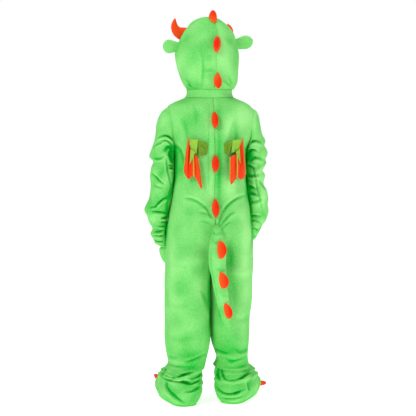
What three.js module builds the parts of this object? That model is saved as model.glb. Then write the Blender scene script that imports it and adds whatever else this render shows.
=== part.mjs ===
// A child's hooded dragon costume of plush cloth, in the hollow form it has when worn.
// Millimetres, +Z up. The back faces -Y, the chest faces +Y, and +X is the wearer's right.
// Heights in the tables are above the underside of the soles. The finished group is lowered
// so that the origin lies where the garment hangs on the wearer, level with the neckline.
import * as THREE from 'three';

// Driving sizes
const HOLD_HEIGHT = 973;
const PLUSH = 2;
const SATIN = 1.2;
const SEAM = 0.3;
const CLEAR = 1.2;
const PRESS = 5;

const NECKLINE = 975;
const NECK_TOP = 1000;
const SHOULDER_TIP = 946;
const ARMPIT = 815;
const ARMHOLE_HALF_DEPTH = 52;
const SEAT_TOP = 560;
const CROTCH = 470;
const ANKLE = 118;
const SOLE_THICKNESS = 3;

const TORSO_SQUARENESS = 2.5;
const LEG_SQUARENESS = 2.3;
const HOOD_SQUARENESS = 2.2;
const HOOD_TURN = THREE.MathUtils.degToRad(4.5);
const HOOD_FRONT_DROP = 34;

const ARMHOLE_STEPS = 8;
const SEAT_STEPS = 5;
const BACK_COLUMNS = 10;
const FRONT_COLUMNS = 6;
const SLEEVE_COLUMNS = 16;
const FOOT_COLUMNS = 18;
const TAIL_COLUMNS = 14;

// Distance round a section for a whole turn of a fold's table
const BODY_TURN_LENGTH = 150;
const SLEEVE_TURN_LENGTH = 130;

const GREEN = 0x78e078;
const ORANGE = 0xff4a14;
const OLIVE = 0x7da010;
const LIME = 0x96d73c;

const ROUGH_PLUSH = 0.9;
const ROUGH_VELVET = 0.55;
const ROUGH_SATIN = 0.4;

const LEFT = -1;
const RIGHT = 1;
const BACK = 1;
const FRONT = -1;

const costume = new THREE.Group();
costume.position.z = -HOLD_HEIGHT;

// Numbers between the rows of a table

// A smooth curve through points whose first values rise or fall evenly
function smoothThrough(at, values) {
  const last = at.length - 1;
  const slope = values.map((value, k) => {
    const before = Math.max(k - 1, 0);
    const after = Math.min(k + 1, last);
    return (values[after] - values[before]) / (at[after] - at[before]);
  });
  const rising = at[last] > at[0];
  return (where) => {
    let k = 0;
    while (k < last - 1 && (rising ? where > at[k + 1] : where < at[k + 1])) k += 1;
    const span = at[k + 1] - at[k];
    const t = Math.min(Math.max((where - at[k]) / span, 0), 1);
    const t2 = t * t;
    const t3 = t2 * t;
    return (2 * t3 - 3 * t2 + 1) * values[k] + (t3 - 2 * t2 + t) * span * slope[k]
      + (3 * t2 - 2 * t3) * values[k + 1] + (t3 - t2) * span * slope[k + 1];
  };
}

// A table read by the value in its first column: table.name(value)
function table(columns, rows) {
  const names = columns.split(' ');
  const at = rows.map((row) => row[0]);
  const read = { at };
  names.forEach((name, k) => {
    read[name] = smoothThrough(at, rows.map((row) => row[k]));
  });
  return read;
}

// A table read by the number of its row, whole or between rows
function ringTable(columns, rows) {
  return table(`row ${columns}`, rows.map((row, k) => [k, ...row]));
}

function power(value, exponent) {
  return Math.sign(value) * Math.abs(value) ** exponent;
}

// Half-width of a rounded section of squareness n at the distance y from its middle
function widthAt(halfWidth, halfDepth, y, squareness) {
  const rest = 1 - Math.abs(y / halfDepth) ** squareness;
  return rest > 0 ? halfWidth * rest ** (1 / squareness) : 0;
}

// Soft creases on a wall: rows of height, turn, length, width, depth and slope.
// A crease is a ridge (or, with a negative depth, a trough) that fades at its ends.
function creases(rows) {
  return (height, turn, reach) => rows.reduce((sum, [h, t, length, width, depth, slope]) => {
    const across = (turn - t) * reach;
    const up = height - h;
    const along = across * Math.cos(slope) + up * Math.sin(slope);
    const off = up * Math.cos(slope) - across * Math.sin(slope);
    return sum + depth * Math.exp(-((along / length) ** 2)) * Math.exp(-((off / width) ** 2));
  }, 0);
}

// Closed meshes from grids of points

function meshFrom(points, faces) {
  const geometry = new THREE.BufferGeometry();
  const keys = new Map();
  const index = points.map((p) => {
    const key = [p.x, p.y, p.z].map((v) => Math.round(v * 1e4)).join(' ');
    if (!keys.has(key)) keys.set(key, keys.size);
    return keys.get(key);
  });
  const positions = new Array(keys.size * 3);
  points.forEach((p, k) => p.toArray(positions, index[k] * 3));
  let kept = faces.map((face) => face.map((k) => index[k]));
  kept = kept.filter(([a, b, c]) => a !== b && b !== c && c !== a);
  const at = (k) => new THREE.Vector3().fromArray(positions, k * 3);
  const volume = kept.reduce((sum, [a, b, c]) => sum + at(a).dot(at(b).cross(at(c))), 0);
  if (volume < 0) kept = kept.map(([a, b, c]) => [a, c, b]);
  geometry.setAttribute('position', new THREE.Float32BufferAttribute(positions, 3));
  geometry.setIndex(kept.flat());
  geometry.computeVertexNormals();
  return geometry;
}

// Cloth of one thickness over surface(row, column). inside(row) is a point on the inner side.
// fold(row, column) moves the cloth outward. A closed wall joins its last column to its first,
// a capped one ends in a point at its last row, and settle may move a border's two points.
function wall({ rows, columns, surface, inside, thickness = PLUSH, fold = () => 0,
  closed = false, capped = false, settle = null }) {
  const step = 0.3;
  const normalAt = (i, j) => {
    const down = surface(Math.min(i + step, rows), j).sub(surface(Math.max(i - step, 0), j));
    const across = surface(i, j + step).sub(surface(i, j - step));
    return across.cross(down);
  };
  const outward = (i, j) => {
    let normal = normalAt(i, j);
    if (normal.length() < 0.05) {
      const nearRow = i - step * 2 * Math.sign(i - rows / 2);
      const nearColumn = j + step * 2 * Math.sign(columns / 2 - j);
      normal = normalAt(nearRow, nearColumn);
    }
    return normal.normalize();
  };
  const across = closed ? columns : columns + 1;
  const grid = [];
  let facing = 0;
  for (let i = 0; i <= rows; i += 1) {
    for (let j = 0; j < across; j += 1) {
      const point = surface(i, j);
      const normal = outward(i, j);
      facing += normal.dot(point.clone().sub(inside(i))) > 0 ? 1 : -1;
      grid.push({ i, j, point, normal });
    }
  }
  if (capped) {
    const tip = new THREE.Vector3();
    for (let j = 0; j < across; j += 1) tip.add(outward(rows - 0.5, j));
    tip.normalize();
    grid.filter((g) => g.i === rows).forEach((g) => g.normal.copy(tip));
  }
  const sign = facing > 0 ? 1 : -1;
  const outer = [];
  const inner = [];
  grid.forEach(({ i, j, point, normal }) => {
    normal.multiplyScalar(sign);
    const lift = fold(i, j);
    const a = point.clone().addScaledVector(normal, lift);
    const b = point.clone().addScaledVector(normal, lift - thickness);
    if (settle) settle(a, b, i, j);
    outer.push(a);
    inner.push(b);
  });
  const points = [...outer, ...inner];
  const base = outer.length;
  const id = (i, j) => i * across + (closed ? j % columns : j);
  const faces = [];
  const quad = (a, b, c, d) => faces.push([a, b, c], [a, c, d]);
  for (let i = 0; i < rows; i += 1) {
    for (let j = 0; j < columns; j += 1) {
      const [a, b, c, d] = [id(i, j), id(i, j + 1), id(i + 1, j + 1), id(i + 1, j)];
      quad(a, b, c, d);
      quad(base + a, base + d, base + c, base + b);
    }
  }
  for (let j = 0; j < columns; j += 1) {
    quad(id(0, j + 1), id(0, j), base + id(0, j), base + id(0, j + 1));
    if (!capped) quad(id(rows, j), id(rows, j + 1), base + id(rows, j + 1), base + id(rows, j));
  }
  if (!closed) {
    for (let i = 0; i < rows; i += 1) {
      quad(id(i, 0), id(i + 1, 0), base + id(i + 1, 0), base + id(i, 0));
      quad(id(i + 1, columns), id(i, columns), base + id(i, columns), base + id(i + 1, columns));
    }
  }
  return meshFrom(points, faces);
}

// A stuffed form through rings: surface(row, column), its two ends closed by fans
function stuffed({ rows, columns, surface, ground = null }) {
  const points = [];
  for (let i = 0; i <= rows; i += 1) {
    for (let j = 0; j < columns; j += 1) points.push(surface(i, j));
  }
  const id = (i, j) => i * columns + (j % columns);
  const faces = [];
  for (let i = 0; i < rows; i += 1) {
    for (let j = 0; j < columns; j += 1) {
      faces.push([id(i, j), id(i, j + 1), id(i + 1, j + 1)], [id(i, j), id(i + 1, j + 1), id(i + 1, j)]);
    }
  }
  for (const [i, flip] of [[0, true], [rows, false]]) {
    const middle = new THREE.Vector3();
    for (let j = 0; j < columns; j += 1) middle.addScaledVector(points[id(i, j)], 1 / columns);
    if (ground && i === 0) middle.copy(ground(middle));
    points.push(middle);
    const centre = points.length - 1;
    for (let j = 0; j < columns; j += 1) {
      const rim = [id(i, j), id(i, j + 1)];
      if (flip) rim.reverse();
      faces.push([rim[0], rim[1], centre]);
    }
  }
  return meshFrom(points, faces);
}

function add(name, geometry, color, roughness = ROUGH_PLUSH) {
  const material = new THREE.MeshStandardMaterial({ color, roughness, metalness: 0 });
  const mesh = new THREE.Mesh(geometry, material);
  mesh.name = name;
  costume.add(mesh);
}

// The body: one section for the torso and one for each leg, blended over the seat

const TORSO = table('height half_width back front', [
  [975, 76, 60, 58],
  [968, 92, 65, 61],
  [961, 110, 70, 65],
  [948, 130, 77, 72],
  [920, 141, 85, 80],
  [880, 139, 92, 87],
  [850, 131, 95, 91],
  [815, 116, 97, 94],
  [780, 113, 96, 96],
  [740, 113, 94, 97],
  [700, 116, 93, 98],
  [660, 121, 96, 99],
  [620, 127, 101, 100],
  [580, 133, 106, 100],
  [560, 135, 108, 100],
  [520, 138, 108, 98],
  [470, 139, 102, 94],
]);

const LEGS = {
  [LEFT]: table('height outer inner back front', [
    [560, 137, 0.3, 104, 98],
    [470, 140, 0.3, 98, 92],
    [430, 141, 0.6, 93, 88],
    [380, 142, 0.9, 87, 84],
    [330, 143, 1.2, 82, 80],
    [280, 143, 1.2, 79, 77],
    [230, 143, 1.8, 76, 75],
    [192, 142, 2.5, 73, 74],
    [160, 137, 7, 70, 72],
    [142, 133, 11, 67, 70],
    [129, 133, 14, 68, 70],
    [118, 141, 18, 70, 72],
  ]),
  [RIGHT]: table('height outer inner back front', [
    [560, 136, 0.3, 104, 98],
    [470, 137, 0.3, 98, 92],
    [430, 137, 0.8, 93, 88],
    [380, 137, 1.5, 87, 84],
    [330, 134, 3, 82, 80],
    [280, 129, 5, 79, 77],
    [230, 128, 6, 76, 75],
    [192, 127, 10, 73, 74],
    [160, 123, 21, 69, 72],
    [142, 123, 26, 66, 70],
    [129, 126, 21, 68, 70],
    [118, 131, 15, 71, 72],
  ]),
};

// How far a section has changed from torso to leg. At the seam between the legs the seat
// curves under as a quarter circle; further out the change is even.
function legShare(height, turn = 0) {
  const drop = Math.min(Math.max((SEAT_TOP - height) / (SEAT_TOP - CROTCH), 0), 1);
  const curve = 1 - Math.sqrt(1 - drop * drop);
  const even = drop * drop * (3 - 2 * drop);
  const pull = Math.abs(turn) ** 7;
  return even * (1 - pull) + curve * pull;
}

// A point of the body's outer surface. turn runs from -1 at the centre front, through 0 at the
// side seam, to 1 at the centre back; in a leg both ends are the inseam.
function bodyPoint(side, height, turn) {
  const facing = turn > 0 ? 'back' : 'front';
  const leg = LEGS[side];
  const share = legShare(height, turn);
  const half = (turn * Math.PI) / 2;
  const torsoX = TORSO.half_width(height) * power(Math.cos(half), 2 / TORSO_SQUARENESS);
  const torsoY = TORSO[facing](height) * power(Math.sin(half), 2 / TORSO_SQUARENESS);
  const middle = (leg.outer(height) + leg.inner(height)) / 2;
  const radius = (leg.outer(height) - leg.inner(height)) / 2;
  const legX = middle + radius * power(Math.cos(2 * half), 2 / LEG_SQUARENESS);
  const legY = leg[facing](height) * power(Math.sin(2 * half), 2 / LEG_SQUARENESS);
  const x = torsoX * (1 - share) + legX * share;
  const y = torsoY * (1 - share) + legY * share;
  return new THREE.Vector3(side * x, -y, height);
}

// Half-width of the body's surface at a height and at y, the larger of torso and leg
function bodyReach(side, height, y) {
  const facing = y < 0 ? 'back' : 'front';
  let reach = 0;
  if (height > CROTCH - 5) {
    reach = widthAt(TORSO.half_width(height), TORSO[facing](height), y, TORSO_SQUARENESS);
  }
  if (height < SEAT_TOP) {
    const leg = LEGS[side];
    const middle = (leg.outer(height) + leg.inner(height)) / 2;
    const radius = (leg.outer(height) - leg.inner(height)) / 2;
    const width = widthAt(radius, leg[facing](height), y, LEG_SQUARENESS);
    if (width > 0) reach = Math.max(reach, middle + width);
  }
  return reach;
}

// The armhole is a loop on the torso: height and y from an angle, 0 at the shoulder tip
function armhole(angle) {
  const middle = (SHOULDER_TIP + ARMPIT) / 2;
  const radius = (SHOULDER_TIP - ARMPIT) / 2;
  return { height: middle + radius * Math.cos(angle), y: -ARMHOLE_HALF_DEPTH * Math.sin(angle) };
}

function armholeTurn(height, face) {
  const middle = (SHOULDER_TIP + ARMPIT) / 2;
  const radius = (SHOULDER_TIP - ARMPIT) / 2;
  const rise = (height - middle) / radius;
  if (Math.abs(rise) >= 1) return 0;
  const y = ARMHOLE_HALF_DEPTH * Math.sqrt(1 - rise * rise);
  const depth = face === BACK ? TORSO.back(height) : TORSO.front(height);
  return (Math.asin((y / depth) ** (TORSO_SQUARENESS / 2)) * 2) / Math.PI;
}

const BODY_ROWS = [NECKLINE, 968, 959];
for (let k = 0; k <= ARMHOLE_STEPS; k += 1) BODY_ROWS.push(armhole((Math.PI * k) / ARMHOLE_STEPS).height);
BODY_ROWS.push(788, 750, 710, 670, 630, 594);
for (let k = 0; k <= SEAT_STEPS; k += 1) {
  BODY_ROWS.push(SEAT_TOP - (SEAT_TOP - CROTCH) * Math.sin((Math.PI / 2) * (k / SEAT_STEPS)));
}
BODY_ROWS.push(425, 370, 310, 255, 208, 180, 163, 147, 132, ANKLE);

const rowHeight = smoothThrough(BODY_ROWS.map((height, k) => k), BODY_ROWS);

// The largest folds of the back, by side: height, turn, length, width, depth, slope
const BODY_FOLDS = {
  [LEFT]: creases([
    [812, 0.3, 40, 15, -3, 0.9],
    [628, 0.62, 42, 15, -4, -0.5],
    [606, 0.8, 30, 15, 4, -0.7],
    [585, 0.92, 26, 15, -3.5, -0.9],
    [470, 0.5, 60, 15, 4, 0.2],
    [250, 0.3, 50, 16, 3, 0.5],
    [168, 0.45, 45, 15, -4, 0.15],
    [148, 0.3, 40, 15, 4, -0.2],
    [134, 0.5, 40, 15, -4, 0.1],
  ]),
  [RIGHT]: creases([
    [800, 0.3, 40, 15, -3, 0.9],
    [640, 0.55, 46, 15, -4, -0.6],
    [612, 0.78, 34, 15, 4, -0.7],
    [580, 0.9, 28, 15, -4, -0.9],
    [440, 0.55, 55, 15, 4, 0.2],
    [300, 0.3, 50, 16, 3, -0.4],
    [176, 0.45, 45, 15, -5, -0.1],
    [156, 0.6, 40, 15, 4, -0.2],
    [136, 0.5, 40, 15, -4, 0.1],
  ]),
};

function bodyPanel(name, side, face) {
  const columns = face === BACK ? BACK_COLUMNS : FRONT_COLUMNS;
  const fold = (i, j) => {
    const ends = Math.min((rowHeight(i) - ANKLE) / 12, 1);
    const fade = Math.sin((Math.PI * j) / columns) * ends;
    return fade * BODY_FOLDS[side](rowHeight(i), j / columns, BODY_TURN_LENGTH);
  };
  const surface = (i, j) => {
    const height = rowHeight(i);
    const start = armholeTurn(height, face);
    return bodyPoint(side, height, face * (start + (1 - start) * (j / columns)));
  };
  const settle = (a, b, i, j) => {
    const gap = SEAM / 2;
    if (j === 0 || j === columns) {
      for (const p of [a, b]) p.y -= face * gap;
    }
    if (j === columns) {
      for (const p of [a, b]) p.x = side * Math.max(Math.abs(p.x), gap);
    }
    if (i === BODY_ROWS.length - 1) b.z = a.z;
  };
  const inside = (i) => new THREE.Vector3(side * 60, 0, rowHeight(i));
  add(name, wall({ rows: BODY_ROWS.length - 1, columns, surface, inside, fold, settle }), GREEN);
}

bodyPanel('back_left', LEFT, BACK);
bodyPanel('back_right', RIGHT, BACK);
bodyPanel('front_left', LEFT, FRONT);
bodyPanel('front_right', RIGHT, FRONT);

// What lies on the back meets the flat facets between the rows of points
function backAt(height) {
  let k = 0;
  while (k < BODY_ROWS.length - 2 && height < BODY_ROWS[k + 1]) k += 1;
  const t = (height - BODY_ROWS[k]) / (BODY_ROWS[k + 1] - BODY_ROWS[k]);
  const upper = bodyPoint(LEFT, BODY_ROWS[k], 1).y;
  const lower = bodyPoint(LEFT, BODY_ROWS[k + 1], 1).y;
  return upper + (lower - upper) * t;
}

function frontAt(height) {
  return bodyPoint(LEFT, height, -1).y;
}

// Sleeves: rings from the armhole down. Too long for the arm, they bunch into uneven bulges.
const SLEEVES = {
  [LEFT]: ringTable('outer height inner drop y depth', [
    [150, 934, 117.5, 128, 0, 53],
    [160, 915, 118.5, 116, 0, 53],
    [167, 890, 119, 99, 0, 52],
    [170, 864, 119, 83, 1, 50],
    [175, 838, 118.5, 67, 1, 49],
    [183, 813, 118, 54, 2, 48],
    [190, 791, 118, 43, 2, 47],
    [179, 776, 118.5, 38, 2, 43],
    [185, 758, 119, 34, 2, 46],
    [187, 731, 120, 28, 3, 45],
    [185, 706, 121.5, 22, 5, 43],
    [187, 681, 124, 16, 8, 44],
    [192, 655, 127, 10, 13, 44],
    [204, 624, 131, 4, 20, 46],
    [195, 603, 132, 0, 28, 43],
    [188, 583, 133, 0, 37, 42],
    [175, 561, 131.5, 0, 46, 36],
    [180, 542, 129, 0, 54, 39],
    [171, 524, 125.5, 0, 62, 35],
    [161, 508, 120, 0, 69, 31],
    [145, 498, 117, 0, 75, 25],
  ]),
  [RIGHT]: ringTable('outer height inner drop y depth', [
    [150, 934, 117.5, 128, 0, 53],
    [158, 916, 118.5, 116, 0, 53],
    [163, 890, 119, 99, 0, 52],
    [169, 862, 119, 83, 1, 50],
    [180, 841, 118.5, 69, 1, 50],
    [177, 825, 118, 60, 2, 47],
    [187, 803, 118, 48, 2, 48],
    [181, 780, 118.5, 39, 2, 44],
    [184, 768, 119, 35, 2, 46],
    [173, 746, 120, 31, 3, 42],
    [180, 729, 121, 27, 4, 45],
    [176, 703, 121.5, 22, 5, 42],
    [187, 682, 124, 16, 8, 44],
    [193, 656, 127, 10, 13, 45],
    [193, 632, 130, 5, 18, 45],
    [198, 610, 132, 0, 26, 44],
    [194, 587, 133, 0, 36, 42],
    [185, 567, 131.5, 0, 46, 38],
    [181, 552, 129, 0, 54, 37],
    [172, 535, 125.5, 0, 62, 33],
    [166, 520, 120, 0, 69, 32],
    [152, 508, 117, 0, 75, 25],
  ]),
};

const SLEEVE_FOLDS = {
  [LEFT]: creases([
    [832, -0.7, 34, 12, 5, 0.5],
    [812, -0.5, 30, 12, -5, 0.7],
    [735, -0.35, 34, 12, -5, -0.8],
    [716, -0.5, 30, 12, 4, -0.8],
    [650, -0.45, 34, 12, -4, 0.7],
    [617, -0.4, 40, 12, -5, 0.05],
    [600, -0.5, 36, 12, 4, 0.1],
    [552, -0.35, 34, 12, -5, -0.1],
    [530, -0.5, 30, 12, 4, 0.1],
  ]),
  [RIGHT]: creases([
    [830, -0.7, 34, 12, 5, 0.5],
    [808, -0.45, 30, 12, -5, 0.7],
    [758, -0.5, 30, 12, -4, 0.1],
    [692, -0.5, 34, 12, -5, 0.6],
    [664, -0.4, 34, 12, 4, 0.7],
    [606, -0.45, 36, 12, -5, -0.3],
    [586, -0.5, 34, 12, 4, -0.2],
    [549, -0.4, 34, 12, -5, 0.2],
  ]),
};

// A point of a sleeve ring. around is 0 on the outer side, a quarter at the back, a half inside.
function sleevePoint(side, ring, around) {
  const t = SLEEVES[side];
  const angle = around * Math.PI * 2;
  const row = Math.max(ring - 1, 0);
  const share = (1 + Math.cos(angle)) / 2;
  const inner = t.inner(row) - PRESS;
  const middle = (t.outer(row) + inner) / 2;
  const radius = (t.outer(row) - inner) / 2;
  const height = t.height(row) - t.drop(row) * (1 - share);
  const y = t.y(row) - t.depth(row) * Math.sin(angle);
  const x = middle + radius * Math.cos(angle);
  const point = new THREE.Vector3(side * x, y, height);
  if (ring < 1) {
    const loop = armhole(angle);
    const depth = loop.y < 0 ? TORSO.back(loop.height) : TORSO.front(loop.height);
    const edge = widthAt(TORSO.half_width(loop.height), depth, loop.y, TORSO_SQUARENESS);
    const seat = new THREE.Vector3(side * (edge + SEAM * 1.3), loop.y, loop.height);
    point.lerp(seat, 1 - ring);
  }
  const reach = bodyReach(side, point.z, point.y);
  const free = ring < 1 ? SEAM : CLEAR;
  if (reach > 0 && Math.abs(point.x) < reach + free && point.z < ARMPIT + 4) {
    point.x = side * (reach + free);
  }
  return point;
}

function sleeve(name, side) {
  const rows = SLEEVES[side].at.length;
  const surface = (i, j) => sleevePoint(side, i, j / SLEEVE_COLUMNS);
  const inside = (i) => surface(i, 0).lerp(surface(i, SLEEVE_COLUMNS / 2), 0.5);
  const fold = (i, j) => {
    const around = j / SLEEVE_COLUMNS;
    const free = Math.max(Math.cos((around - 0.08) * Math.PI * 2) + 0.5, 0) / 1.5;
    const p = surface(i, j);
    return i === 0 ? 0 : free * SLEEVE_FOLDS[side](p.z, -around * 2, SLEEVE_TURN_LENGTH);
  };
  const settle = (a, b, i) => {
    if (i === rows) b.z = a.z;
    if (i > 0) return;
    const direction = b.clone().sub(a);
    if (direction.x * side < 0) direction.x = 0;
    b.copy(a).add(direction.setLength(PLUSH));
  };
  const columns = SLEEVE_COLUMNS;
  add(name, wall({ rows, columns, surface, inside, fold, settle, closed: true }), GREEN);
}

sleeve('sleeve_left', LEFT);
sleeve('sleeve_right', RIGHT);

// Mitts: closed pouches that carry on from the gathered wrists, in front of the thighs
const MITT = ringTable('x down y half_width depth', [
  [0, 0.4, 0, 1, 1],
  [-1, 6, 5, 16, 26],
  [-5, 16, 20, 20, 26],
  [-11, 30, 37, 21, 26],
  [-16, 44, 50, 20, 25],
  [-20, 57, 60, 16, 20],
  [-21, 65, 66, 9, 12],
  [-22, 68, 68, 0, 0],
]);

function mitt(name, side) {
  const columns = 12;
  const last = SLEEVES[side].at.length;
  const rim = sleevePoint(side, last, 0).lerp(sleevePoint(side, last, 0.5), 0.5);
  const surface = (i, j) => {
    const around = j / columns;
    const angle = around * Math.PI * 2;
    const ring = new THREE.Vector3(
      rim.x + side * (MITT.x(i) + MITT.half_width(i) * Math.cos(angle)),
      rim.y + MITT.y(i) - MITT.depth(i) * Math.sin(angle),
      rim.z - MITT.down(i),
    );
    if (i < 1) {
      const seat = sleevePoint(side, last, around);
      seat.z -= MITT.down(0);
      ring.lerp(seat, 1 - Math.max(i, 0));
    }
    const reach = bodyReach(side, ring.z, ring.y);
    if (reach > 0 && Math.abs(ring.x) < reach + CLEAR && MITT.depth(i) > 5) {
      ring.x = side * (reach + CLEAR);
    }
    return ring;
  };
  const inside = (i) => new THREE.Vector3(rim.x, rim.y + MITT.y(i), rim.z - MITT.down(i) + 6);
  const settle = (a, b, i) => {
    if (i === 0) b.z = a.z;
  };
  add(name, wall({ rows: 7, columns, surface, inside, settle, closed: true, capped: true }), GREEN);
}

mitt('mitt_left', LEFT);
mitt('mitt_right', RIGHT);

// Neck band: a short standing strip, open at the centre front
const NECK = table('height half_width back front', [
  [NECKLINE, 76, 60, 58],
  [988, 71, 58, 56],
  [NECK_TOP, 72, 61, 58],
]);

function neckBand() {
  const columns = 24;
  const heights = [NECKLINE + SEAM, 988, NECK_TOP];
  const opening = 0.97;
  const surface = (i, j) => {
    const height = THREE.MathUtils.lerp(heights[0], heights[2], i / 2);
    const turn = 1 - (j / columns) * 2;
    const angle = turn * opening * Math.PI;
    const x = -NECK.half_width(height) * power(Math.sin(angle), 2 / 2.2);
    const depth = Math.cos(angle) > 0 ? NECK.back(height) : NECK.front(height);
    return new THREE.Vector3(x, -depth * power(Math.cos(angle), 2 / 2.2), height);
  };
  const inside = (i) => new THREE.Vector3(0, 0, heights[i]);
  const settle = (a, b) => {
    b.z = a.z;
  };
  add('neck_band', wall({ rows: 2, columns, surface, inside, settle }), GREEN);
}

neckBand();

// Hood: two panels that meet along a seam from the nape over the crown to the forehead
const HOOD = ringTable('height half_width back front edge shift', [
  [NECK_TOP + 0.3, 73, 62, 60, -0.93, 3],
  [1010, 79, 72, 68, -0.86, 2],
  [1022, 85, 83, 78, -0.74, 1],
  [1045, 91, 98, 90, -0.52, -2],
  [1075, 95, 110, 98, -0.4, -6],
  [1107, 97, 116, 103, -0.36, -9],
  [1133, 92, 117, 104, -0.36, -8],
  [1156, 84, 113, 102, -0.4, -6],
  [1175, 74, 106, 99, -0.47, -5],
  [1194, 60, 96, 92, -0.6, -6],
  [1208, 47, 86, 84, -0.74, -9],
  [1217, 32, 76, 76, -0.88, -11],
  [1222, 14, 68, 69, -0.97, -12],
  [1223, 0, 64, 66, -1, -12],
]);

const HOOD_FOLDS = {
  [LEFT]: creases([
    [1062, 0.84, 48, 5, -2.5, 1.57],
    [1012, 0.35, 22, 7, -4, 0.5],
    [1030, 0.2, 26, 8, 3, 0.3],
  ]),
  [RIGHT]: creases([
    [1056, 0.85, 26, 5, -2.5, 0.05],
    [1022, 0.55, 22, 7, -4, -0.4],
    [1032, 0.3, 26, 8, 3, -0.3],
  ]),
};

// The hood turns away from the neck seam, where it still sits square
function hoodTurn(height) {
  return HOOD_TURN * Math.min(Math.max((height - NECK_TOP) / 25, 0), 1);
}

function hoodPoint(side, row, turn) {
  const angle = (turn * Math.PI) / 2;
  const depth = turn > 0 ? HOOD.back(row) : HOOD.front(row);
  const x = side * HOOD.half_width(row) * power(Math.cos(angle), 2 / HOOD_SQUARENESS);
  const y = -depth * power(Math.sin(angle), 2 / HOOD_SQUARENESS);
  const height = HOOD.height(row);
  const forward = Math.max(-Math.sin(angle), 0);
  const rise = Math.max((height - NECK_TOP) / 223, 0);
  const drop = HOOD_FRONT_DROP * forward * forward * rise * rise;
  const point = new THREE.Vector3(x, y, height - drop);
  point.applyAxisAngle(new THREE.Vector3(0, 0, 1), hoodTurn(height));
  point.x += HOOD.shift(row);
  return point;
}

function hoodPanel(name, side) {
  const columns = 11;
  const rows = HOOD.at.length - 1;
  const turnAt = (i, j) => 1 - (1 - HOOD.edge(i)) * (j / columns);
  const surface = (i, j) => hoodPoint(side, i, turnAt(i, j));
  const inside = () => new THREE.Vector3(-4, 0, 1110);
  const fold = (i, j) => {
    const fade = Math.sin((Math.PI * j) / columns) * Math.sin((Math.PI * i) / rows);
    return fade * HOOD_FOLDS[side](HOOD.height(i), Math.abs(turnAt(i, j)), BODY_TURN_LENGTH);
  };
  const settle = (a, b, i, j) => {
    if (i === 0) b.z = a.z;
    if (j > 0 && i < rows) return;
    const seam = hoodPoint(side, i, turnAt(i, j));
    const turned = hoodTurn(HOOD.height(i));
    const out = new THREE.Vector3(Math.cos(turned), Math.sin(turned), 0);
    for (const p of [a, b]) p.addScaledVector(out, side * (SEAM / 2) - p.clone().sub(seam).dot(out));
  };
  add(name, wall({ rows, columns, surface, inside, fold, settle }), GREEN);
}

hoodPanel('hood_left', LEFT);
hoodPanel('hood_right', RIGHT);

// Foot covers: rings from the ankle seam down to the sole, slouched in folds over the instep.
// Each foot has its own frame: x across, y along the foot, turned out from the body.
const FEET = {
  [LEFT]: { x: 86, turn: 17 },
  [RIGHT]: { x: 80, turn: 38 },
};

const BOOTIE = ringTable('height half_width heel toe tilt', [
  [ANKLE - SEAM, 58, 69, 72, 0],
  [108, 54, 63, 76, 3],
  [98, 62, 66, 92, 6],
  [88, 54, 58, 98, 8],
  [77, 63, 65, 117, 8],
  [65, 56, 58, 129, 6],
  [49, 60, 63, 148, 3],
  [32, 56, 61, 160, 0],
  [16, 49, 57, 162, 0],
  [SOLE_THICKNESS + SEAM, 40, 49, 155, 0],
]);

function footPoint(side, ring, around) {
  const { x, turn } = FEET[side];
  const angle = around * Math.PI * 2;
  const length = Math.cos(angle) > 0 ? BOOTIE.toe(ring) : BOOTIE.heel(ring);
  const across = BOOTIE.half_width(ring) * power(Math.sin(angle), 2 / 2.3);
  const along = length * power(Math.cos(angle), 2 / 2.3);
  const height = BOOTIE.height(ring) + BOOTIE.tilt(ring) * Math.sin(angle - side * 0.6);
  const point = new THREE.Vector3(side * across, along, height);
  point.applyAxisAngle(new THREE.Vector3(0, 0, 1), -side * THREE.MathUtils.degToRad(turn));
  point.x += side * x;
  return point;
}

// The leg's last ring, read by the same angle as a foot's rings
function anklePoint(side, around) {
  const angle = Math.atan2(Math.cos(around * Math.PI * 2), Math.sin(around * Math.PI * 2));
  return bodyPoint(side, ANKLE, -angle / Math.PI);
}

function bootie(name, side) {
  const rows = BOOTIE.at.length - 1;
  const surface = (i, j) => {
    const around = j / FOOT_COLUMNS;
    const point = footPoint(side, Math.max(i, 0), around);
    if (i < 1) {
      const seat = anklePoint(side, around);
      seat.z -= SEAM;
      point.lerp(seat, 1 - i);
    }
    return point;
  };
  const inside = (i) => surface(i, 0).lerp(surface(i, FOOT_COLUMNS / 2), 0.5);
  const settle = (a, b, i) => {
    if (i === 0 || i === rows) b.z = a.z;
  };
  const columns = FOOT_COLUMNS;
  add(name, wall({ rows, columns, surface, inside, settle, closed: true }), GREEN);
}

function sole(name, side) {
  const last = BOOTIE.at.length - 1;
  const surface = (i, j) => {
    const point = footPoint(side, last, j / FOOT_COLUMNS);
    point.z = i === 0 ? SOLE_THICKNESS : 0;
    return point;
  };
  add(name, stuffed({ rows: 1, columns: FOOT_COLUMNS, surface }), GREEN);
}

// A stuffed dome on a base: width across, length along, height outward, leaning across
function dome({ centre, across, along, out, width, length, height, lean = 0, tip = 0, ground = null }) {
  const columns = 10;
  const levels = [0, 18, 42, 66, 82];
  const surface = (i, j) => {
    const angle = (j / columns) * Math.PI * 2;
    const level = THREE.MathUtils.degToRad(levels[i]);
    const narrow = 1 - tip * Math.sin(level);
    const point = centre.clone();
    point.addScaledVector(across, (width / 2) * Math.cos(angle) * Math.cos(level) * narrow);
    point.addScaledVector(along, (length / 2) * Math.sin(angle) * Math.cos(level) * narrow);
    if (ground) point.copy(ground(point));
    point.addScaledVector(out, height * Math.sin(level));
    return point.addScaledVector(across, lean * height * Math.sin(level));
  };
  return stuffed({ rows: levels.length - 1, columns, surface, ground });
}

const X = new THREE.Vector3(1, 0, 0);
const Z = new THREE.Vector3(0, 0, 1);

// Distance from the cloth's true curve to the flat base of what stands on it. The facets of
// the feet and the hood lie a little inside that curve.
const SPIKE_GAP = 0.5;
const TAIL_SPIKE_GAP = 0.8;
const HOOD_SPIKE_GAP = 0.25;
const CLAW_GAP = -0.2;

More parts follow.
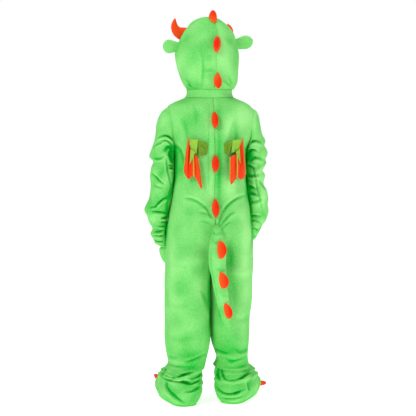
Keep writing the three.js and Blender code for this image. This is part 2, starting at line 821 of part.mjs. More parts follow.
// Spikes on the centre back seam: the height of the middle above the soles, width, length and
// how far it stands off
const BACK_SPIKES = [
  { name: 'spike_back_upper', height: 907, width: 21, length: 51, stand: 26 },
  { name: 'spike_back_middle', height: 773, width: 22, length: 54, stand: 28 },
  { name: 'spike_back_lower', height: 636, width: 22, length: 57, stand: 28 },
];

for (const { name, height, width, length, stand } of BACK_SPIKES) {
  const ground = (point) => new THREE.Vector3(point.x, backAt(point.z) - SPIKE_GAP, point.z);
  const centre = new THREE.Vector3(0, 0, height);
  const out = new THREE.Vector3(0, -1, 0);
  const shape = dome({ centre, across: X, along: Z, out, width, length, height: stand, ground });
  add(name, shape, ORANGE, ROUGH_VELVET);
}

// The tail: a stuffed tube that leaves the seat, drops and lies over the right leg
const TAIL = ringTable('x y height radius', [
  [0, -109.5, 575, 12],
  [0, -122, 572, 14],
  [-1, -133, 561, 17],
  [-2, -137, 540, 22],
  [-2, -138, 512, 26.5],
  [-1, -136, 485, 27],
  [1, -132, 458, 26],
  [5, -128, 430, 24],
  [10, -123, 400, 22],
  [16, -118, 370, 20.5],
  [23, -113, 338, 19],
  [31, -109, 306, 16],
  [37, -106, 282, 11.5],
  [42, -104, 264, 5.5],
]);

function tailPoint(ring, around) {
  const middle = new THREE.Vector3(TAIL.x(ring), TAIL.y(ring), TAIL.height(ring));
  const ahead = Math.min(ring + 0.2, TAIL.at.length - 1);
  const behind = Math.max(ring - 0.2, 0);
  const direction = new THREE.Vector3(
    TAIL.x(ahead) - TAIL.x(behind),
    TAIL.y(ahead) - TAIL.y(behind),
    TAIL.height(ahead) - TAIL.height(behind),
  ).normalize();
  const side = new THREE.Vector3(1, 0, 0).addScaledVector(direction, -direction.x).normalize();
  const back = side.clone().cross(direction);
  const angle = around * Math.PI * 2;
  const flat = ring > 3 ? 0.82 : 1 - 0.06 * ring;
  return middle
    .addScaledVector(side, TAIL.radius(ring) * Math.cos(angle))
    .addScaledVector(back, -TAIL.radius(ring) * flat * Math.sin(angle));
}

function tail() {
  const rows = TAIL.at.length - 1;
  const columns = TAIL_COLUMNS;
  const ground = (point) => new THREE.Vector3(point.x, backAt(point.z) - SEAM, point.z);
  const surface = (i, j) => {
    const point = tailPoint(i, j / columns);
    return i === 0 ? ground(point) : point;
  };
  add('tail', stuffed({ rows, columns, surface, ground }), GREEN);
}

tail();

// Spikes along the tail: the ring of the tail that each sits on, its width, length, how far it
// stands off and how far its tip leans across
const TAIL_SPIKES = [
  { name: 'spike_tail_upper', ring: 3.9, width: 15, length: 56, stand: 20.4, lean: 0.7 },
  { name: 'spike_tail_middle', ring: 7.3, width: 15, length: 56, stand: 19.5, lean: 0.85 },
  { name: 'spike_tail_lower', ring: 10.55, width: 14, length: 54, stand: 17.9, lean: 0.7 },
];

for (const { name, ring, width, length, stand, lean } of TAIL_SPIKES) {
  const around = 0.23;
  const centre = tailPoint(ring, around);
  const along = tailPoint(ring + 0.4, around).sub(tailPoint(ring - 0.4, around)).normalize();
  const across = tailPoint(ring, around - 0.02).sub(tailPoint(ring, around + 0.02));
  across.addScaledVector(along, -across.dot(along)).normalize();
  const out = across.clone().cross(along).normalize();
  if (out.y > 0) out.negate();
  centre.addScaledVector(out, TAIL_SPIKE_GAP);
  const shape = dome({ centre, across, along, out, width, length, height: stand, lean });
  add(name, shape, ORANGE, ROUGH_VELVET);
}

// The middle of the hood, which its trims point away from
const HOOD_HEART = new THREE.Vector3(0, 0, 1100);

function awayFrom(heart, centre, direction) {
  const out = direction.clone().normalize();
  if (out.dot(centre.clone().sub(heart)) < 0) out.negate();
  return out;
}

// A place on the hood's surface and the direction outward there
function hoodSpot(side, row, turn) {
  const centre = hoodPoint(side, row, turn);
  const up = hoodPoint(side, row + 0.2, turn).sub(hoodPoint(side, row - 0.2, turn));
  const across = hoodPoint(side, row, turn + 0.04).sub(hoodPoint(side, row, turn - 0.04));
  return { centre, out: awayFrom(HOOD_HEART, centre, up.cross(across)) };
}

// Spikes on the hood's centre seam: row of the hood, size, and how far the tip leans across
const HOOD_SPIKES = [
  { name: 'spike_hood_top', row: 10.8, width: 21, length: 42, stand: 27, lean: 0 },
  { name: 'spike_hood_back', row: 6.15, width: 23, length: 50, stand: 26, lean: -0.35 },
  { name: 'spike_hood_nape', row: 2.35, width: 21, length: 50, stand: 27, lean: 0.15 },
];

for (const { name, row, width, length, stand, lean } of HOOD_SPIKES) {
  const centre = hoodPoint(RIGHT, row, 1);
  const upper = hoodPoint(RIGHT, row + 0.8, 1);
  const lower = hoodPoint(RIGHT, row - 0.8, 1);
  const along = upper.clone().sub(lower).normalize();
  const across = X.clone().applyAxisAngle(Z, HOOD_TURN);
  const out = awayFrom(HOOD_HEART, centre, along.clone().cross(across));
  centre.addScaledVector(out, HOOD_SPIKE_GAP);
  const shape = dome({ centre, across, along, out, width, length, height: stand, lean, tip: 0.1 });
  add(name, shape, ORANGE, ROUGH_VELVET);
}

// A stuffed horn or ear along a bent path: rows of out, forward, up, width and depth
function horn(name, side, place, rows, color) {
  const t = ringTable('out forward up width depth', rows);
  const columns = 12;
  const last = rows.length - 1;
  const { centre, out } = hoodSpot(side, place.row, place.turn);
  centre.addScaledVector(out, SEAM + place.seat);
  const level = new THREE.Vector3(side * Math.cos(HOOD_TURN), side * Math.sin(HOOD_TURN), 0);
  const ahead = new THREE.Vector3(-Math.sin(HOOD_TURN), Math.cos(HOOD_TURN), 0);
  const at = (row) => centre.clone()
    .addScaledVector(level, t.out(row))
    .addScaledVector(ahead, t.forward(row))
    .addScaledVector(Z, t.up(row));
  const surface = (i, j) => {
    const direction = at(Math.min(i + 0.3, last)).sub(at(Math.max(i - 0.3, 0))).normalize();
    if (i === 0) direction.copy(out);
    const flat = ahead.clone().addScaledVector(direction, -ahead.dot(direction)).normalize();
    const tall = direction.clone().cross(flat).normalize();
    const angle = (j / columns) * Math.PI * 2;
    return at(i)
      .addScaledVector(tall, (t.width(i) / 2) * Math.cos(angle))
      .addScaledVector(flat, (t.depth(i) / 2) * Math.sin(angle));
  };
  const shape = stuffed({ rows: last, columns, surface });
  add(name, shape, color, color === ORANGE ? ROUGH_VELVET : ROUGH_PLUSH);
}

const HORN = [
  [0, 0, 0, 45, 38],
  [12, 1, 2, 39, 34],
  [22, 2, 8, 33, 28],
  [29, 3, 18, 26, 22],
  [31, 4, 29, 19, 16],
  [30, 5, 40, 11, 10],
  [28, 6, 48, 3, 3],
];

// The right horn bends in toward the hood, so less of it shows
const HORN_BENT = [
  [0, 0, 0, 45, 38],
  [12, 1, 2, 39, 34],
  [21, 2, 7, 33, 28],
  [26, 3, 15, 26, 22],
  [27, 4, 24, 19, 16],
  [24, 5, 33, 11, 10],
  [20, 6, 39, 3, 3],
];

const EAR = [
  [0, 0, 0, 30, 17],
  [10, 0, 0, 33, 19],
  [25, 1, 3, 39, 21],
  [40, 2, 6, 42, 20],
  [52, 2, 8, 34, 16],
  [60, 2, 9, 18, 9],
  [62, 2, 9, 6, 3],
];

// The left ear droops and is pushed back, so it shows shorter
const EAR_PUSHED = EAR.map(([out, forward, up, ...size]) => [out * 0.74, forward, up * 0.2, ...size]);

horn('horn_left', LEFT, { row: 8.25, turn: -0.34, seat: 0.1 }, HORN, ORANGE);
horn('horn_right', RIGHT, { row: 8, turn: -0.38, seat: 0.1 }, HORN_BENT, ORANGE);
horn('ear_left', LEFT, { row: 5.95, turn: -0.02, seat: 0.1 }, EAR_PUSHED, GREEN);
horn('ear_right', RIGHT, { row: 6.4, turn: -0.02, seat: 0 }, EAR, GREEN);

bootie('bootie_left', LEFT);
bootie('bootie_right', RIGHT);
sole('sole_left', LEFT);
sole('sole_right', RIGHT);

// Toe claws: three stuffed points on each foot, spread over the toe, by their share of a turn.
// Both covers are slouched and twisted, so the claws sit a little higher on the left one.
const CLAWS = {
  [LEFT]: { ring: 6.05, inner: -0.07, middle: -0.015, outer: 0.038 },
  [RIGHT]: { ring: 7.3, inner: -0.06, middle: 0.005, outer: 0.07 },
};
const CLAW = { width: 21, length: 19, stand: 22 };

for (const [word, side] of [['left', LEFT], ['right', RIGHT]]) {
  const { ring: level, ...places } = CLAWS[side];
  for (const [place, around] of Object.entries(places)) {
    const at = (ring, turn) => footPoint(side, level + ring, around + turn);
    const centre = at(0, 0);
    const across = at(0, 0.01).sub(at(0, -0.01)).normalize();
    const along = at(-0.4, 0).sub(at(0.4, 0)).normalize();
    const heart = footPoint(side, level, 0).lerp(footPoint(side, level, 0.5), 0.5);
    const out = awayFrom(heart, centre, across.clone().cross(along));
    centre.addScaledVector(out, CLAW_GAP);
    const { width, length, stand } = CLAW;
    const shape = dome({ centre, across, along, out, width, length, height: stand });
    add(`claw_${word}_${place}`, shape, ORANGE, ROUGH_VELVET);
  }
}

// Front placket: the strip that covers the centre front opening, from the neckline to the belly
const PLACKET_HALF_WIDTH = 15;
const PLACKET_GAP = 0.6;

function placket() {
  const heights = BODY_ROWS.filter((height) => height < NECKLINE && height > SEAT_TOP + 50);
  const heightAt = smoothThrough(heights.map((height, k) => k), heights);
  const surface = (i, j) => {
    const x = (j - 1) * PLACKET_HALF_WIDTH;
    const height = heightAt(i);
    return new THREE.Vector3(x, frontAt(height) + PLACKET_GAP + PLUSH, height);
  };
  const inside = (i) => new THREE.Vector3(0, 0, heights[i]);
  add('front_placket', wall({ rows: heights.length - 1, columns: 2, surface, inside }), GREEN);
}

placket();

// Wings: small, folded and drooping. x runs from the centre back seam outward and lift is the
// distance from the back's surface.
function backPoint(side, x, height, lift) {
  const depth = widthAt(TORSO.back(height), TORSO.half_width(height), x, TORSO_SQUARENESS);
  return new THREE.Vector3(side * x, -depth - lift, height);
}

// The membranes' columns: upper end, lower end, and how far the pleat there stands off the rest.
// The right wing is spread a little wider.
const MEMBRANE = {
  [LEFT]: ringTable('top_x top low_x low lift', [
    [86, 853, 96, 751, 0],
    [84, 850, 92, 739, 9],
    [82, 838, 86, 729, 2],
    [79, 825, 80, 727, -7],
    [77, 816, 76, 733, 0],
    [72, 804, 70, 735, 9],
    [68, 801, 62, 729, 4],
    [64, 801, 54, 711, 10],
    [60, 798, 47, 697, 8],
    [54, 789, 42, 706, -2],
  ]),
  [RIGHT]: ringTable('top_x top low_x low lift', [
    [86, 853, 103, 738, 0],
    [84, 850, 97, 731, 9],
    [81, 838, 90, 724, 2],
    [77, 825, 82, 723, -7],
    [73, 816, 75, 729, 0],
    [67, 804, 68, 729, 9],
    [61, 801, 60, 722, 4],
    [56, 801, 53, 714, 10],
    [50, 798, 47, 710, 8],
    [43, 794, 44, 720, -2],
  ]),
};

const WING_LIFT = 18;

// The pleats are flat at the top edge and deepest two thirds of the way down
function membrane(name, side) {
  const table = MEMBRANE[side];
  const rows = 8;
  const columns = table.at.length - 1;
  const surface = (i, j) => {
    const down = i / rows;
    const column = Math.min(Math.max(j, 0), columns);
    const x = THREE.MathUtils.lerp(table.top_x(column), table.low_x(column), down);
    const height = THREE.MathUtils.lerp(table.top(column), table.low(column), down);
    const pleat = 0.25 + 0.75 * Math.sin(Math.PI * (0.15 + 0.75 * down));
    return backPoint(side, x, height, WING_LIFT + table.lift(column) * pleat);
  };
  const inside = (i) => surface(i, columns / 2).add(new THREE.Vector3(0, 60, 0));
  add(name, wall({ rows, columns, surface, inside, thickness: SATIN }), ORANGE, ROUGH_SATIN);
}

// A four-sided cloth patch with a soft crumple: waves that run across it at a slant
const PATCH_WAVE_DOWN = 1.9;
const PATCH_WAVE_ACROSS = 0.7;

function patch(name, side, corners, color, ripple) {
  const rows = 5;
  const columns = 5;
  const surface = (i, j) => {
    const [a, b, c, d] = corners;
    const mix = (k) => THREE.MathUtils.lerp(
      THREE.MathUtils.lerp(a[k], b[k], j / columns),
      THREE.MathUtils.lerp(d[k], c[k], j / columns),
      i / rows,
    );
    const phase = i * PATCH_WAVE_DOWN + j * PATCH_WAVE_ACROSS;
    const wave = ripple * Math.sin(phase) * Math.sin((Math.PI * j) / columns);
    return backPoint(side, mix(0), mix(1), mix(2) + wave);
  };
  const inside = (i) => surface(i, columns / 2).add(new THREE.Vector3(0, 60, 0));
  add(name, wall({ rows, columns, surface, inside, thickness: SATIN }), color, ROUGH_SATIN);
}

// Corners run outer top, inner top, inner low, outer low: x, height and lift
const WING_ROOT = {
  [LEFT]: [[55, 848, 17], [23, 836, 2], [26, 803, 2], [54, 795, 16.5]],
  [RIGHT]: [[51.3, 845, 17], [27, 835, 1.3], [28, 806, 1.3], [39, 797, 16.5]],
};
const WING_ARM = {
  [LEFT]: [[82.5, 849.5, 19], [55.5, 848, 17.5], [61, 803, 17.5], [75.5, 815, 19]],
  [RIGHT]: [[82.5, 849.5, 19], [52.4, 845, 17.5], [48, 806, 17.5], [71.5, 815, 19]],
};

for (const [word, side] of [['left', LEFT], ['right', RIGHT]]) {
  membrane(`wing_membrane_${word}`, side);
  patch(`wing_root_${word}`, side, WING_ROOT[side], OLIVE, 2.5);
  patch(`wing_arm_${word}`, side, WING_ARM[side], LIME, 1);
}

export default costume;
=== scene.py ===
# %% [markdown]
# # A child's dragon costume
# A one-piece suit of green short-pile plush with a hood, closed mitts, slouched foot covers,
# a stuffed tail, orange spikes, two horns, two paddle ears and two small satin wings. The suit
# keeps the hollow form that it has when it is worn. Each step below makes one piece as a
# maker would sew it, and each cloth panel is one function of two parameters on a grid.

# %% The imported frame
import math

import bpy
import numpy as np
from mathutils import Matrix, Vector


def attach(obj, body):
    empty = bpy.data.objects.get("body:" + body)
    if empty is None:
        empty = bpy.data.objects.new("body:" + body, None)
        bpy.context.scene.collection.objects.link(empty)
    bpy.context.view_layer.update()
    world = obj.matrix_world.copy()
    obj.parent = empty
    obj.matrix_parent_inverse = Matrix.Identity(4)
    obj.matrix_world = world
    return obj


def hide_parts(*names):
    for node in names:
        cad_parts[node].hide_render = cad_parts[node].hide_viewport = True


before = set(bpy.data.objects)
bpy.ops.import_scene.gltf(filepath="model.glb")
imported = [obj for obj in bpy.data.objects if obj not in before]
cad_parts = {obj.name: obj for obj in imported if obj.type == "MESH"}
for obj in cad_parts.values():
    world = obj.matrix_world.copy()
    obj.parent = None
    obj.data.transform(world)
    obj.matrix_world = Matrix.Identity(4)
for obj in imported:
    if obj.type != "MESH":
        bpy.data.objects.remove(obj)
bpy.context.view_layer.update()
print("nodes:", len(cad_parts))

# %% [markdown]
# ## Sizes and tables
# The sizes are in millimetres above the soles, as a tailor would note them, and become metres
# when a mesh is made. A short table holds a section's sizes at a few heights, and a smooth
# curve through its rows gives the sizes between them, so a panel can be as fine as it needs.

# %% Numbers that several pieces use
HOLD_HEIGHT = 973.0
PLUSH = 2.0
SATIN = 1.2
SEAM = 0.3
SEAM_LINE = 0.05
CLEAR = 1.2
PRESS = 5.0
NECKLINE, NECK_TOP, SHOULDER_TIP, ARMPIT = 975.0, 1000.0, 946.0, 815.0
ARMHOLE_MIDDLE, ARMHOLE_RADIUS = (SHOULDER_TIP + ARMPIT) / 2, (SHOULDER_TIP - ARMPIT) / 2
ARMHOLE_HALF_DEPTH = 52.0
CROTCH_DROP = 5.0
SEAT_TOP, CROTCH, ANKLE, SOLE = 560.0, 470.0, 118.0, 3.0
TORSO_SQUARENESS, LEG_SQUARENESS, HOOD_SQUARENESS, FOOT_SQUARENESS = 2.5, 2.3, 2.2, 2.3
HOOD_TURN = math.radians(4.5)
HOOD_FRONT_DROP = 34.0
LEFT, RIGHT, BACK, FRONT = -1, 1, 1, -1
WORDS = {LEFT: "left", RIGHT: "right"}


def smooth_through(at, values):
    """A curve through (at, values): a cubic between neighbours, with the slope at each row taken
    from the rows on its two sides."""
    order = np.argsort(at)
    at = np.asarray(at, float)[order]
    values = np.asarray(values, float)[order]
    rows = np.arange(len(at))
    before, after = np.maximum(rows - 1, 0), np.minimum(rows + 1, len(at) - 1)
    slope = (values[after] - values[before]) / (at[after] - at[before])

    def read(where):
        where = np.clip(np.asarray(where, float), at[0], at[-1])
        k = np.clip(np.searchsorted(at, where, side="right") - 1, 0, len(at) - 2)
        span = at[k + 1] - at[k]
        t = (where - at[k]) / span
        return (
            (2 * t**3 - 3 * t**2 + 1) * values[k]
            + (t**3 - 2 * t**2 + t) * span * slope[k]
            + (3 * t**2 - 2 * t**3) * values[k + 1]
            + (t**3 - t**2) * span * slope[k + 1]
        )

    return read


class Table:
    """Rows of sizes with named columns, read by the value in the first column."""

    def __init__(self, columns, rows):
        names = columns.split()
        self.last = len(rows) - 1
        for k, name in enumerate(names):
            setattr(self, name, smooth_through([r[0] for r in rows], [r[k] for r in rows]))


def ring_table(columns, rows):
    """The same, read by the number of the row."""
    return Table("row " + columns, [(k, *row) for k, row in enumerate(rows)])


def power(value, exponent):
    return np.sign(value) * np.abs(value) ** exponent


def mix(a, b, share):
    return a + (b - a) * share


def xyz(x, y, z):
    return np.stack(np.broadcast_arrays(x, y, z), axis=-1).astype(float)


def ease(value, low, high):
    """0 below low, 1 above high, and a soft step between them."""
    t = np.clip((value - low) / (high - low), 0, 1)
    return t * t * (3 - 2 * t)


# %% [markdown]
# ## From a grid of points to a mesh
# A panel is a grid of points: rows down the cloth and columns across it. The grid's squares become
# faces, a tube's last column joins its first, and a stuffed piece ends in a pole at each end. The UV
# map is the place on the flat cloth in metres, and an attribute called fold says how far a crease
# lifts or sinks the cloth, which the plush's colour uses as painted shade in troughs and painted
# highlight on ridges. A second attribute holds painted light and shade, in places with the pile's
# nap.


# %% Grids
def normals_of(points, closed=False):
    """The unit normal at each grid point: the cross product of the steps along both ways."""
    down = np.gradient(points, axis=0)
    if closed:
        across = (np.roll(points, -1, 1) - np.roll(points, 1, 1)) / 2
    else:
        across = np.gradient(points, axis=1)
    normal = np.cross(across, down)
    length = np.linalg.norm(normal, axis=-1, keepdims=True)
    return normal / np.maximum(length, 1e-9)


def outward_normals(points, closed=False, heart=None):
    """Normals that point away from the middle of each row, or from heart."""
    normal = normals_of(points, closed)
    middle = points.mean(1, keepdims=True) if heart is None else np.asarray(heart, float)
    facing = np.sum(normal * (points - middle), axis=-1)
    return normal if np.median(facing) > 0 else -normal


def lengths_of(points, closed=False):
    """Longest row and longest column of the cloth in metres, and its area in square metres."""
    ring = np.concatenate([points, points[:, :1]], 1) if closed else points
    across = np.linalg.norm(np.diff(ring, axis=1), axis=-1)
    down = np.linalg.norm(np.diff(ring, axis=0), axis=-1)
    a = ring[1:, 1:] - ring[:-1, :-1]
    b = ring[1:, :-1] - ring[:-1, 1:]
    area = np.linalg.norm(np.cross(a, b), axis=-1).sum() / 2
    return across.sum(1).max() / 1e3, down.sum(0).max() / 1e3, area / 1e6


def grid_object(
    name, points, closed=False, poles=(None, None), fold=None, outward=None, nap_and_painted_light=None
):
    """A mesh object from points[row, column] in millimetres. poles are the points that close a
    tube's first and last row, or None where it stays open."""
    rows, columns = points.shape[:2]
    ring = columns if closed else columns - 1
    i, j = np.meshgrid(np.arange(rows - 1), np.arange(ring), indexing="ij")
    i, j = i.ravel(), j.ravel()
    corner_i = np.stack([i, i, i + 1, i + 1], 1)
    corner_j = np.stack([j, j + 1, j + 1, j], 1)
    quads = corner_i * columns + corner_j % columns
    whole = np.concatenate([points, points[:, :1]], 1) if closed else points
    u = np.linalg.norm(np.diff(whole, axis=1), axis=-1).mean(0)
    v = np.linalg.norm(np.diff(points, axis=0), axis=-1).mean(1)
    u, v = (np.concatenate([[0], np.cumsum(step)]) / 1e3 for step in (u, v))
    faces, places = [quads], [np.stack([u[corner_j], v[corner_i]], -1)]
    vertices = [points.reshape(-1, 3)]
    for row, pole in ((0, poles[0]), (rows - 1, poles[1])):
        if pole is None:
            continue
        k = np.arange(columns)
        ends = (k + 1, k) if row == 0 else (k, k + 1)
        tip = np.full(columns, sum(len(v) for v in vertices))
        first = row * columns
        faces.append(np.stack([first + ends[0] % columns, first + ends[1] % columns, tip], 1))
        fan_u = np.stack([u[ends[0]], u[ends[1]], (u[k] + u[k + 1]) / 2], 1)
        places.append(np.stack([fan_u, np.full_like(fan_u, v[row])], -1))
        vertices.append(np.asarray(pole, float).reshape(1, 3))
    normal = normals_of(points, closed)
    away = points - points.mean(1, keepdims=True) if outward is None else np.asarray(outward, float)
    if np.median(np.sum(normal * away, axis=-1)) < 0:
        faces, places = [f[:, ::-1] for f in faces], [p[:, ::-1] for p in places]
    vertices = (np.concatenate(vertices) - [0, 0, HOLD_HEIGHT]) / 1e3
    loops = np.concatenate([f.ravel() for f in faces])
    sizes = np.concatenate([np.full(len(f), f.shape[1]) for f in faces])
    mesh = bpy.data.meshes.new(name)
    mesh.vertices.add(len(vertices))
    mesh.vertices.foreach_set("co", vertices.astype(np.float32).ravel())
    mesh.loops.add(len(loops))
    mesh.loops.foreach_set("vertex_index", loops.astype(np.int32))
    mesh.polygons.add(len(sizes))
    starts = np.concatenate([[0], np.cumsum(sizes)[:-1]])
    mesh.polygons.foreach_set("loop_start", starts.astype(np.int32))
    mesh.polygons.foreach_set("use_smooth", np.ones(len(sizes), bool))
    flat_places = np.concatenate([p.reshape(-1, 2) for p in places]).astype(np.float32)
    mesh.uv_layers.new(name="flat_cloth").data.foreach_set("uv", flat_places.ravel())
    # fold holds crease depth, which the plush's colour turns into painted shade in troughs and
    # painted highlight on ridges; the other attribute holds painted light and shade, in places with
    # the pile's nap
    for label, field in (("fold", fold), ("nap_and_painted_light", nap_and_painted_light)):
        values = np.zeros(len(vertices), np.float32)
        if field is not None:
            values[: rows * columns] = np.broadcast_to(field, (rows, columns)).ravel()
        mesh.attributes.new(label, "FLOAT", "POINT").data.foreach_set("value", values)
    mesh.update(calc_edges=True)
    mesh.validate()
    piece = bpy.data.objects.new(name, mesh)
    bpy.context.scene.collection.objects.link(piece)
    return piece


PIECES = []
TALLY = []


def finish_piece(piece, nodes, material, thickness=0.0, sheet=None):
    """Everything that a finished piece needs: wall, body, nodes, slot and material."""
    if thickness:
        wall = piece.modifiers.new("wall", "SOLIDIFY")
        wall.thickness = thickness / 1e3
        wall.offset = -1
        wall.use_rim = True
    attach(piece, "root")
    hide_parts(*nodes)
    PIECES.append((piece, material))
    if sheet:
        width, length, area, held, rests_on = sheet
        flat = (round(width, 3), round(length, 3))
        TALLY.append((piece.name, flat, round(area, 4)))
    return piece


# %% [markdown]
# ## The camera and what it says about creases
# The photograph was taken from behind, a little to the left, from about 3.7 m away and with
# a long lens. Its frame is 416 points wide, each 3.15 mm at the garment. The creases that
# show are placed in that frame, as a maker would mark them on a print, and the function below
# finds each point of the cloth in it.

# %% Camera
FRAME_SIZE, GROUND_ROW = 416, 407
DISTANCE, EYE_HEIGHT, AZIMUTH = 3700.0, 1000.0, math.radians(-11)
FRAME_MM = 3.15
FOCAL = DISTANCE / FRAME_MM
PITCH = math.atan((FRAME_SIZE / 2 - (GROUND_ROW - EYE_HEIGHT / FRAME_MM)) / FOCAL)
AXIS_COLUMN = 209.3
SENSOR = 36.0

camera_data = bpy.data.cameras.new("camera")
camera_data.sensor_width = SENSOR
camera_data.lens = SENSOR * FOCAL / FRAME_SIZE
camera_data.shift_x = (FRAME_SIZE / 2 - AXIS_COLUMN) / FRAME_SIZE
camera = bpy.data.objects.new("camera", camera_data)
camera.location = (
    DISTANCE / 1e3 * math.sin(AZIMUTH),
    -DISTANCE / 1e3 * math.cos(AZIMUTH),
    (EYE_HEIGHT - HOLD_HEIGHT) / 1e3,
)
camera.rotation_euler = (math.pi / 2 - PITCH, 0, AZIMUTH)
bpy.context.scene.collection.objects.link(camera)
bpy.context.scene.camera = camera
print("lens", round(camera_data.lens, 1), "pitch", round(math.degrees(PITCH), 2))


def in_frame(points):
    """Column and row of each point in the camera's frame: the point turned into the camera's
    axes, then divided by its depth."""
    x, y, up = points[..., 0], points[..., 1], points[..., 2] - EYE_HEIGHT
    right = x * math.cos(AZIMUTH) + y * math.sin(AZIMUTH)
    depth = DISTANCE - x * math.sin(AZIMUTH) + y * math.cos(AZIMUTH)
    far = depth * math.cos(PITCH) - up * math.sin(PITCH)
    rise = up * math.cos(PITCH) + depth * math.sin(PITCH)
    column = AXIS_COLUMN + FOCAL * right / far
    return np.stack([column, FRAME_SIZE / 2 - FOCAL * rise / far], -1)


def toward_camera(normal):
    """How squarely the cloth faces the camera, from -1 to 1."""
    way = np.array([math.sin(AZIMUTH), -math.cos(AZIMUTH), 0.0])
    return normal @ way


# %% [markdown]
# ## Creases
# A crease is a soft trough or ridge along a bent line through three points. It is deepest in
# the middle and fades at both ends, and the cloth that it takes up rises beside it as a low
# lip. Each row says where it runs, its half-width and its depth in millimetres, and how much
# of the depth the lip has and on which side. All of them are uneven, as on a worn suit.


# %% Crease field
def creases(at, rows):
    """Sum over the rows of depth * bell(distance / width) * fade along the line, plus a lip at
    one and a half widths to one side. at holds the place of each point in the plane of the
    rows, and the line is a parabola through its three points."""
    total = np.zeros(at.shape[:-1])
    for ax, ay, bx, by, cx, cy, width, depth, lip in rows:
        a, b, c = np.array([ax, ay]), np.array([bx, by]), np.array([cx, cy])
        control = 2 * b - (a + c) / 2
        reach = 4 * width + 2
        low = np.minimum(np.minimum(a, b), c) - reach
        high = np.maximum(np.maximum(a, b), c) + reach
        near = np.all((at > low) & (at < high), axis=-1)
        if not near.any():
            continue
        p = at[near]
        best = np.full(len(p), 1e9)
        share = np.zeros(len(p))
        signed = np.zeros(len(p))
        steps = np.linspace(0, 1, 15)
        line = np.array([(1 - t) ** 2 * a + 2 * t * (1 - t) * control + t * t * c for t in steps])
        for k in range(len(line) - 1):
            way = line[k + 1] - line[k]
            t = np.clip(((p - line[k]) @ way) / (way @ way), 0, 1)
            off = p - line[k] - t[:, None] * way
            distance = np.linalg.norm(off, axis=1)
            closer = distance < best
            best = np.where(closer, distance, best)
            share = np.where(closer, (k + t) / (len(line) - 1), share)
            side = off @ np.array([-way[1], way[0]]) / np.linalg.norm(way)
            signed = np.where(closer, side, signed)
        fade = np.clip(np.sin(np.pi * share), 0, 1) ** 0.6
        trough = np.exp(-((best / width) ** 2))
        ridge = np.exp(-(((signed - np.sign(lip) * 1.7 * width) / (1.2 * width)) ** 2))
        ridge *= np.exp(-((np.maximum(best - np.abs(signed), 0) / width) ** 2))
        total[near] += depth * fade * (trough - abs(lip) * ridge)
    return total


def seen_creases(points, normal, rows):
    """The creases that are placed in the camera's frame, on the cloth that faces it."""
    return creases(in_frame(points), rows) * ease(toward_camera(normal), 0.05, 0.4)


def narrower(rows, share=0.74):
    """The same creases with that share of their width: pressed plush folds sharply."""
    return [(*row[:6], row[6] * share, *row[7:]) for row in rows]


def slopes(height, turn, reach, rows):
    """The largest folds, as the solids have them: rows of height, turn, length, width, depth
    and slope, each a bell across the fold times a bell along it."""
    total = np.zeros(np.broadcast(height, turn).shape)
    for h, t, length, width, depth, slope in rows:
        across, up = (turn - t) * reach, height - h
        along = across * math.cos(slope) + up * math.sin(slope)
        off = up * math.cos(slope) - across * math.sin(slope)
        total += depth * np.exp(-((along / length) ** 2)) * np.exp(-((off / width) ** 2))
    return total


def unevenness(points, size, height, start):
    """Soft lumps of worn cloth: sines along four slanted ways, size apart, height tall."""
    ways = np.array([[1, 0.3, 0.5], [-0.6, 0.5, 1], [0.4, -1, 0.7], [0.9, 0.8, -0.6]])
    total = 0
    for k, way in enumerate(ways):
        total = total + np.sin(points @ way * (2 * math.pi / size) + start + 1.7 * k)
    return total * height / 4


# x y of the middle in the camera's frame, half-width, half-height, and strength: painted highlight
# toward the pale pile colour (positive) and painted shade toward the deep one (negative), in places
# also the pile's nap brushed the other way
NAP_AND_PAINTED_LIGHT_PATCHES = [
    (219, 166, 3.0, 46, -0.95),
    (211.5, 172, 3.0, 40, 0.30),
    (243, 118, 8, 13, 0.75),
    (236, 133, 2.6, 12, -0.75),
    (229, 126, 4, 14, 0.35),
    (190, 126, 15, 18, -0.15),
    (180, 170, 5, 10, -0.75),
    (231, 190, 6, 14, 0.55),
    (246, 170, 3, 10, -0.6),
    (208, 192, 5, 10, 0.2),
    (246, 245, 6, 44, 0.8),
    (231, 262, 3.0, 22, -0.7),
    (235, 292, 2.6, 20, -0.35),
    (209, 374, 80, 44, -0.4),
    (240, 116, 13, 15, 0.4),
    (257, 190, 5, 50, 0.35),
    (157, 190, 8, 50, -0.2),
    (222, 55, 6, 14, 0.6),
    (229, 70, 4, 10, 0.45),
    (199, 47, 10, 8, -0.3),
    (210, 58, 5, 5, -0.5),
    (206, 82, 5, 6, 0.4),
    (196, 87, 10, 4, -0.4),
    (180, 62, 4, 14, 0.3),
    (172, 270, 4, 50, 0.4),
    (186, 292, 9, 7, -0.12),
    (190, 352, 9, 8, -0.3),
    (200, 258, 4, 36, 0.25),
    (178, 340, 6, 14, 0.25),
    (204, 345, 3, 12, 0.3),
    (222, 302, 4, 16, -0.5),
    (243, 330, 4, 16, 0.3),
    (226, 343, 8, 9, -0.5),
    (230, 362, 5, 5, -0.4),
    (178, 107, 10, 5, 0.3),
    (161, 122, 4, 12, 0.35),
    (253, 118, 3, 12, 0.3),
    (172, 154, 4.5, 7, -1.2),
    (250, 155, 4.5, 7, -1.2),
    (263, 182, 2.6, 30, 0.5),
    (250, 184, 3.4, 26, -0.9),
    (156, 178, 4, 20, 0.15),
    (154, 212, 3, 10, 0.2),
    (166, 214, 3, 18, -0.6),
    (196, 388, 5, 8, -0.4),
    (162, 386, 4, 8, 0.2),
    (218, 376, 3, 5, -0.7),
    (256, 384, 5, 8, 0.2),
]


